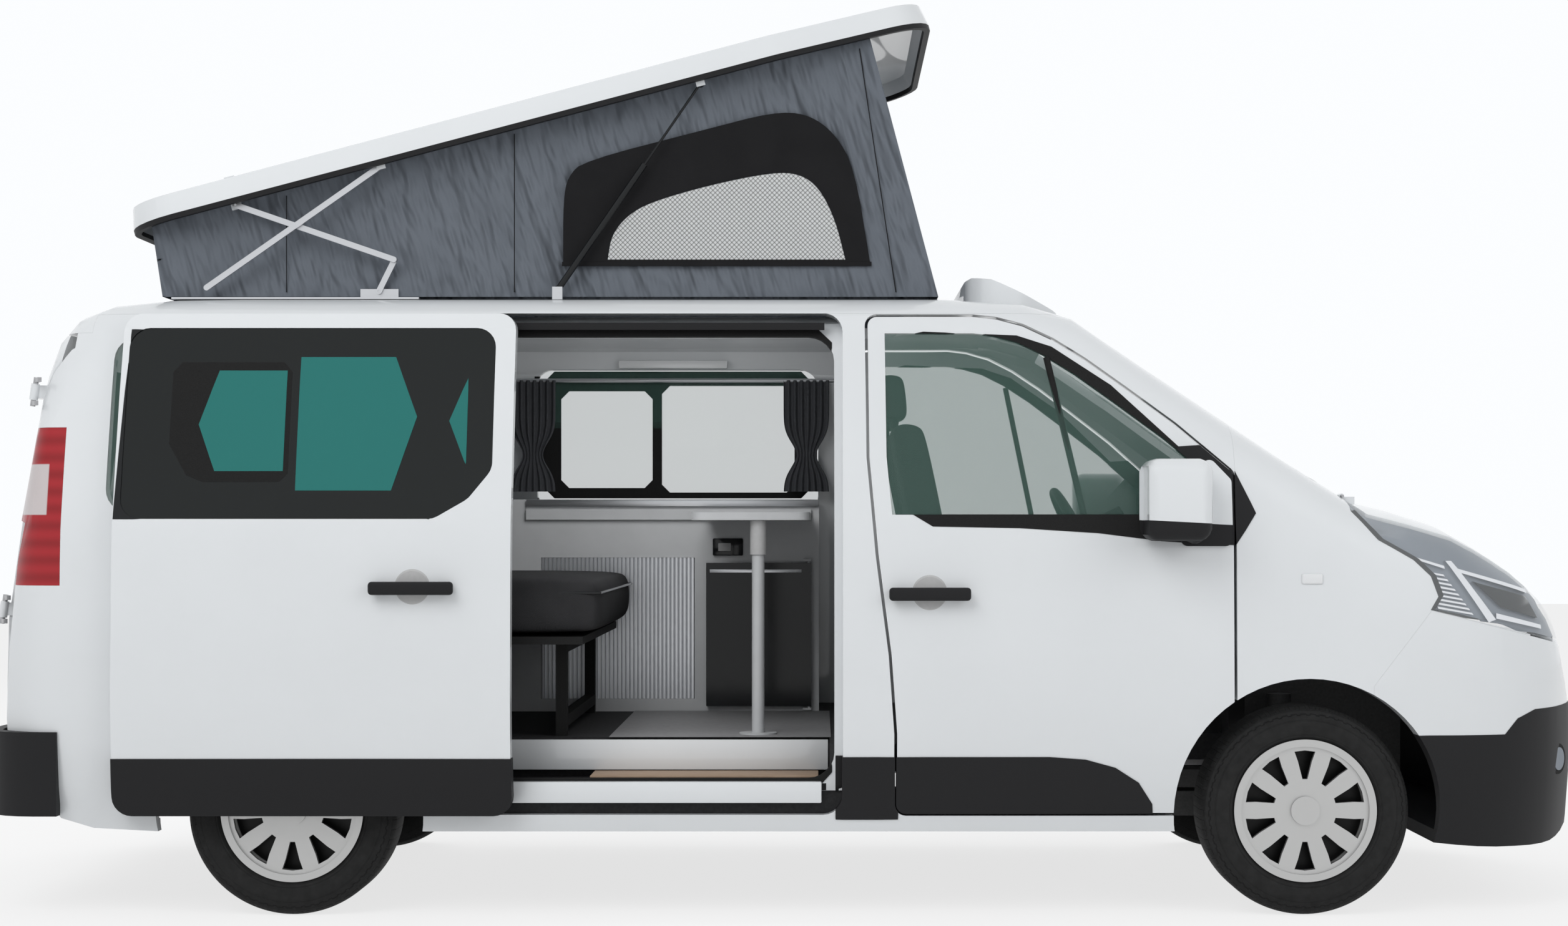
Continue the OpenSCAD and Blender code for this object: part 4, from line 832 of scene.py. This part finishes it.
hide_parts("tent")
print("tent points:", len(tent.data.vertices))

# %% [markdown]
# ## The tent's cut
# A sheet is also described by the size it was cut to. The walls are flat pieces before they are sewn,
# so their areas follow from the corners alone, and the folded mesh can then be compared with them.

# %% Flat area of the four walls
def mesh_area(obj):
    return sum(face.area for face in obj.data.polygons)


outline = [TENT_REAR, TENT_FRONT, TENT_FRONT_TOP, TENT_REAR_TOP]
doubled = sum(ax * bz - bx * az for (ax, az), (bx, bz) in zip(outline, outline[1:] + outline[:1]))
side_cut = abs(doubled) / 2
front_cut = 2 * TENT_HALF * math.dist(TENT_FRONT, TENT_FRONT_TOP)
rear_cut = 2 * TENT_HALF * math.dist(TENT_REAR, TENT_REAR_TOP)
tent_cut = 2 * side_cut + front_cut + rear_cut
print("tent cut", round(tent_cut, 3), "m2, as folded", round(mesh_area(tent), 3), "m2")

# %% [markdown]
# ## Window panel, net and seams
# The tent has a dark panel with a net in it on each side, a hem below, and sewn
# seams. They are thin plates and beads just off the cloth, so that they don't
# flicker with it.

# %% Pieces sewn on the tent
PANEL = [(-0.746, 2.021), (0.224, 2.021), (0.175, 2.32), (0.113, 2.432), (0.026, 2.494), (-0.085, 2.499),
         (-0.296, 2.444), (-0.68, 2.345), (-0.731, 2.296), (-0.746, 2.221)]
NET = [(-0.605, 2.033), (0.145, 2.033), (0.113, 2.159), (0.063, 2.259), (0.002, 2.303), (-0.085, 2.308),
       (-0.283, 2.268), (-0.469, 2.214), (-0.543, 2.172), (-0.593, 2.11)]
SEAMS = [((-1.62, 1.93), (-1.62, 2.235)), ((-0.90, 1.93), (-0.90, 2.43)), ((0.305, 1.93), (0.19, 2.70))]
PANEL_IN, NET_IN, NET_OUT, HEM_OUT, SEAM_Y = 0.6425, 0.644, 0.6455, 0.646, 0.643
CUT_TURNS = 2


def rounded(outline):
    """Cut the corners of the upper edge twice; the two lower corners stay."""
    chain = outline[1:] + outline[:1]
    for turn in range(CUT_TURNS):
        cut = [chain[0]]
        for (ax, az), (bx, bz) in zip(chain, chain[1:]):
            cut.append((0.75 * ax + 0.25 * bx, 0.75 * az + 0.25 * bz))
            cut.append((0.25 * ax + 0.75 * bx, 0.25 * az + 0.75 * bz))
        chain = cut + [chain[-1]]
    return chain


soft = [tent]
for tag, side in SIDES.items():
    panel = plate("tent_panel_" + tag, rounded(PANEL), side * PANEL_IN, side * NET_IN)
    net = plate("tent_net_" + tag, rounded(NET), side * NET_IN, side * NET_OUT)
    near, far = sorted((side * PANEL_IN, side * HEM_OUT))
    hem = block("tent_hem_" + tag, (-0.75, near, 2.012), (0.228, far, 2.026), 0.0008)
    beads = [rod(f"tent_seam_{tag}_{i}", at_side(foot, side * SEAM_Y), at_side(top, side * SEAM_Y), 0.0016, 8)
             for i, (foot, top) in enumerate(SEAMS)]
    seam = join("tent_seams_" + tag, beads)
    for piece, look in ((panel, panel_cloth), (net, net_cloth), (hem, panel_cloth), (seam, panel_cloth)):
        soft.append(dress(piece, look))
for piece in soft:
    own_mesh(piece)
print("tent pieces:", len(soft))

# %% [markdown]
# ## Bed cushions
# The bed is two upholstered pads, the front one with a sewn bead. A pad starts
# as a block with generous bevels and is then subdivided, which rounds its faces
# into a crown. That is quicker than inflating cloth, and it suits a firm pad.

# %% Pads and piping
def pad(name, low, high, round_by, lean=0.0):
    """A padded block, which leans back by its rise times lean."""
    obj = block(name, low, high)
    apply(obj, "BEVEL", width=round_by, segments=2, limit_method="ANGLE")
    apply(obj, "SUBSURF", levels=3, render_levels=3)
    if lean:
        pick(obj)
        move_points(obj, lambda point: (point.x - (point.z - low[2]) * lean, point.y, point.z))
    pick(obj)
    bpy.ops.object.shade_smooth()
    return obj


def piping(name, low, high, z, radius=0.004):
    """A sewn bead round a cushion at height z."""
    corners = [(low[0], low[1], z), (high[0], low[1], z), (high[0], high[1], z), (low[0], high[1], z)]
    ends = zip(corners, corners[1:] + corners[:1])
    return join(name, [rod(f"{name}_{i}", start, end, radius, 10) for i, (start, end) in enumerate(ends)])


low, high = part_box("bed_cushions")
SPLIT, SPLIT_GAP = -1.353, 0.002
front_pad = pad("bed_cushion_front", (SPLIT, low[1], low[2]), high, 0.06)
rear_pad = pad("bed_cushion_rear", low, (SPLIT - SPLIT_GAP, high[1], high[2]), 0.05)
for piece in (front_pad, rear_pad):
    dress(piece, seat_cloth)
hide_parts("bed_cushions")
bead_low, bead_high = (SPLIT + 0.02, low[1] + 0.012), (high[0] - 0.006, high[1] - 0.012)
dress(piping("bed_piping", bead_low, bead_high, high[2] - 0.055), gloss)
print("bed from x", round(low[0], 3), "to", round(high[0], 3))

# %% [markdown]
# ## Front seats
# Each seat is a base, a back and a head rest on a plinth. The same pad makes all
# three, and the backs are leaned in edit mode, as a seat's back is. The plinth
# and the two posts of the head rest are hard, and are joined as one piece.

# %% Pads, plinths and posts
SEAT_Y = 0.39
seats = []
for tag, side in SIDES.items():
    y = side * SEAT_Y
    seats += [pad("seat_base_" + tag, (0.34, y - 0.255, 0.79), (0.92, y + 0.255, 0.935), 0.05),
              pad("seat_back_" + tag, (0.40, y - 0.25, 0.92), (0.52, y + 0.25, 1.52), 0.045, 0.2),
              pad("head_rest_" + tag, (0.262, y - 0.14, 1.53), (0.352, y + 0.14, 1.68), 0.03, 0.1)]
    hard = [block("seat_plinth_" + tag, (0.44, y - 0.2, 0.5245), (0.86, y + 0.2, 0.80), 0.01)]
    for i, across in enumerate((y - 0.06, y + 0.06)):
        hard.append(rod(f"seat_post_{tag}_{i}", (0.31, across, 1.47), (0.30, across, 1.56), 0.008, 16))
    dress(join("seat_frame_" + tag, hard), black)
for piece in seats:
    dress(piece, seat_cloth)
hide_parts("front_seats")
print("padded pieces:", 2 + len(seats))

# %% [markdown]
# ## Curtains
# Each curtain is a strip of cloth on a rail, gathered in pleats and drawn together by a tie. A
# simulation would need many frames to gather it, so a grid is folded like a fan in edit mode, and
# narrowed where the tie holds it. The cloth is cut wider than the rail that it takes up, by a fullness.

# %% Pleated curtains on the left wall
FULLNESS = 1.6
PLEAT_DEPTH, PLEAT_WAVES = 0.008, 22
TIE_HEIGHT, TIE_SPREAD, TIE_PULL = 0.33, 0.16, 0.55
CURTAIN_LOW, CURTAIN_HIGH = 1.32, 1.735


def curtain(name, x0, x1, low, high, y):
    fresh()
    bpy.ops.mesh.primitive_grid_add(x_subdivisions=64, y_subdivisions=40, size=2)
    obj = bpy.context.object
    obj.name = name

    def pleated(point):
        u, v = point.x, point.y / 2 + 0.5
        waist = 1 - TIE_PULL * math.exp(-((v - TIE_HEIGHT) / TIE_SPREAD) ** 2)
        x = (x0 + x1) / 2 + u * (x1 - x0) / 2 * waist
        return x, y - PLEAT_DEPTH * math.sin(u * PLEAT_WAVES) * waist, low + (high - low) * v

    move_points(obj, pleated)
    pick(obj)
    bpy.ops.object.shade_smooth()
    dress(obj, curtain_cloth)
    cut = (FULLNESS * (x1 - x0), high - low)
    print(name, "cut", round(cut[0] * cut[1], 4), "m2, as folded", round(mesh_area(obj), 4), "m2")
    return obj


low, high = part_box("curtains")
curtains = [curtain(f"curtain_{i}", x - 0.05, x + 0.12, CURTAIN_LOW, CURTAIN_HIGH, low[1] + 0.004)
            for i, x in enumerate((-1.04, -0.02))]
rail_y = low[1] + 0.012
dress(rod("curtain_rail", (-1.08, rail_y, CURTAIN_HIGH), (0.16, rail_y, CURTAIN_HIGH), 0.007, 16), alloy)
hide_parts("curtains")
print("curtains:", len(curtains))

# %% [markdown]
# ## Inside and at the step
# Small fittings make the living space look lived in: a control panel with its display, a lamp bar, a
# floor mat, the step with its wooden tread and white riser, and a strip on the fridge. Each is a bevelled
# block, listed with its corners, bevel and look, because a list is easier to adjust than a row of calls.

# %% Fittings of the living space
FITTINGS = [
    ("control_panel", (-0.32, 0.436, 1.085), (-0.211, 0.4505, 1.147), 0.004, gloss),
    ("control_display", (-0.30, 0.4345, 1.102), (-0.255, 0.4365, 1.130), 0.001, inner),
    ("lamp_bar", (-0.68, 0.70, 1.775), (-0.276, 0.735, 1.805), 0.006, lens_white),
    ("window_bar", (-0.565, 0.886, 1.30), (-0.535, 0.90, 1.72), 0.003, black),
    ("floor_mat", (-0.60, -0.66, 0.5245), (0.10, 0.44, 0.5275), 0.001, floor_grey),
    ("step_tread", (-0.64, -0.885, 0.4195), (0.06, -0.71, 0.4255), 0.002, tread_wood),
    ("step_riser", (-0.99, -0.712, 0.428), (0.09, -0.706, 0.522), 0.001, paint),
    ("sill_panel", (-0.99, -0.932, 0.347), (0.07, -0.9, 0.412), 0.004, paint),
]
for name, low, high, bevel, look in FITTINGS:
    dress(block(name, low, high, bevel), look)
front = surface("fridge_door", -0.17, 1.02)
strip = block("fridge_strip", (-0.33, front - 0.003, 1.024), (0.0, front + 0.002, 1.036), 0.0008)
dress(strip, alloy, "fridge_door")
print("fittings set:", len(FITTINGS) + 1)

# %% [markdown]
# ## The inner window frame, edges and bars
# The window of the living space has a black inner frame with two panes in it. A plate
# with cut corners is the frame, and two smaller plates cut the panes' holes by Boolean,
# which keeps the corners' shape without any modelling by hand. The edge of the worktop,
# the table's socket and the bars in the front doors' panes are a block and rods.

# %% Window ring, worktop edge, table socket and quarter bars
def pane_outline(x0, x1, z0, z1, cut):
    """A rectangle with its corners cut off."""
    return [(x0 + cut, z0), (x1 - cut, z0), (x1, z0 + cut), (x1, z1 - cut),
            (x1 - cut, z1), (x0 + cut, z1), (x0, z1 - cut), (x0, z0 + cut)]


ring = plate("window_ring", pane_outline(-0.995, 0.055, 1.296, 1.774, 0.06), 0.874, 0.884)
for tag, x0, x1, z0, z1 in (("left", -0.91, -0.565, 1.335, 1.70), ("right", -0.53, -0.03, 1.318, 1.72)):
    boolean(ring, plate("pane_hole_" + tag, pane_outline(x0, x1, z0, z1, 0.03), 0.8, 1.0), "DIFFERENCE")
dress(ring, seal)
dress(block("worktop_edge", (-0.99, 0.436, 1.262), (0.06, 0.449, 1.2865), 0.002), alloy)
dress(rod("table_socket", (-0.132, -0.557, 1.10), (-0.132, -0.557, 1.208), 0.026, 24), inner)
for tag, side in SIDES.items():
    pane = "door_glass_" + tag
    foot = (0.874, surface(pane, 0.874, 1.30, side), 1.20)
    top = (0.762, surface(pane, 0.762, 1.70, side), 1.71)
    dress(rod("quarter_bar_" + tag, foot, top, 0.010, 12), seal, "front_door_" + tag)
print("window frame and bars set")

# %% [markdown]
# ## Studio floor and sky
# A pale floor runs into a pale backdrop. A floor that only reflects the lamps
# would be grey, so it glows for rays that see it directly, from the camera, off
# a glossy face or through glass, and stays an ordinary floor for all others.

# %% Floor and world
STAGE_GLOW, SKY_BASE, SKY_DIRECT = 0.75, 0.5, 0.5


def seen_directly(tree):
    """1 for rays that show the backdrop: from the camera, off a glossy face or through glass."""
    path = tree.nodes.new("ShaderNodeLightPath")
    camera_ray, glossy, through = (
        Sock(tree, path.outputs[name]) for name in ("Is Camera Ray", "Is Glossy Ray", "Is Transmission Ray"))
    total = camera_ray + glossy + through
    return total.math("MINIMUM", total, 1.0)


def stage_material():
    mat = bpy.data.materials.new("stage_pale")
    mat.use_nodes = True
    tree = mat.node_tree
    shader = tree.nodes["Principled BSDF"]
    shader.inputs["Base Color"].default_value = (0.85, 0.85, 0.85, 1)
    shader.inputs["Roughness"].default_value = 0.9
    glow = tree.nodes.new("ShaderNodeEmission")
    glow.inputs["Color"].default_value = (1, 1, 1, 1)
    mix = tree.nodes.new("ShaderNodeMixShader")
    tree.links.new((seen_directly(tree) * STAGE_GLOW).socket, mix.inputs[0])
    tree.links.new(shader.outputs[0], mix.inputs[1])
    tree.links.new(glow.outputs[0], mix.inputs[2])
    tree.links.new(mix.outputs[0], tree.nodes["Material Output"].inputs["Surface"])
    return mat


fresh()
bpy.ops.mesh.primitive_plane_add(size=60)
floor = bpy.context.object
floor.name = "stage_floor"
floor.data.materials.append(stage_material())
floor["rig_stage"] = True

world = bpy.data.worlds.new("studio")
scene.world = world
world.use_nodes = True
sky = world.node_tree.nodes["Background"]
sky.inputs["Color"].default_value = (0.97, 0.985, 1, 1)
direct = seen_directly(world.node_tree)
world.node_tree.links.new((SKY_BASE + direct * SKY_DIRECT).socket, sky.inputs["Strength"])
print("stage laid")

# %% [markdown]
# ## Light and camera
# One large key light stands above the camera's left shoulder, with a fill from the right, a back light
# and a small lamp inside. The lamps don't show in glossy faces, which keeps dark glass dark. The
# camera stands where the photograph was taken from, level, with its frame shifted instead of tilted.

# %% Lamps and camera
def lamp(name, place, target, size, power):
    fresh()
    bpy.ops.object.light_add(type="AREA", location=place)
    light = bpy.context.object
    light.name = name
    light.data.size = size
    light.visible_glossy = False
    light.data.energy = power
    light.rotation_euler = (Vector(target) - Vector(place)).to_track_quat("-Z", "Y").to_euler()


lamp("key", (-4, -7, 7), (0, 0, 1), 6, 380)
lamp("fill", (6, -6, 4), (0.5, 0, 1), 5, 150)
lamp("back", (0, 7, 7), (0, 0, 1.5), 6, 250)
lamp("inside", (-0.45, -0.35, 1.78), (-0.45, 0.1, 0.5), 0.7, 7)

fresh()
bpy.ops.object.camera_add(location=(0.062, -8.5, 1.187), rotation=(math.pi / 2, 0, 0))
camera = bpy.context.object
camera.data.lens = 57.1
camera.data.sensor_width = 36
camera.data.shift_x = -0.0223
camera.data.shift_y = 0.041
scene.camera = camera
scene.view_settings.view_transform = "Standard"
print("camera at", [round(v, 3) for v in camera.location])

# %% [markdown]
# ## Finish
# The box round everything that is shown, the stage left out, is worked out and its size printed.

# %% Print the size and finish
low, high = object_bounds()
print("size", [round(b - a, 3) for a, b in zip(low, high)])
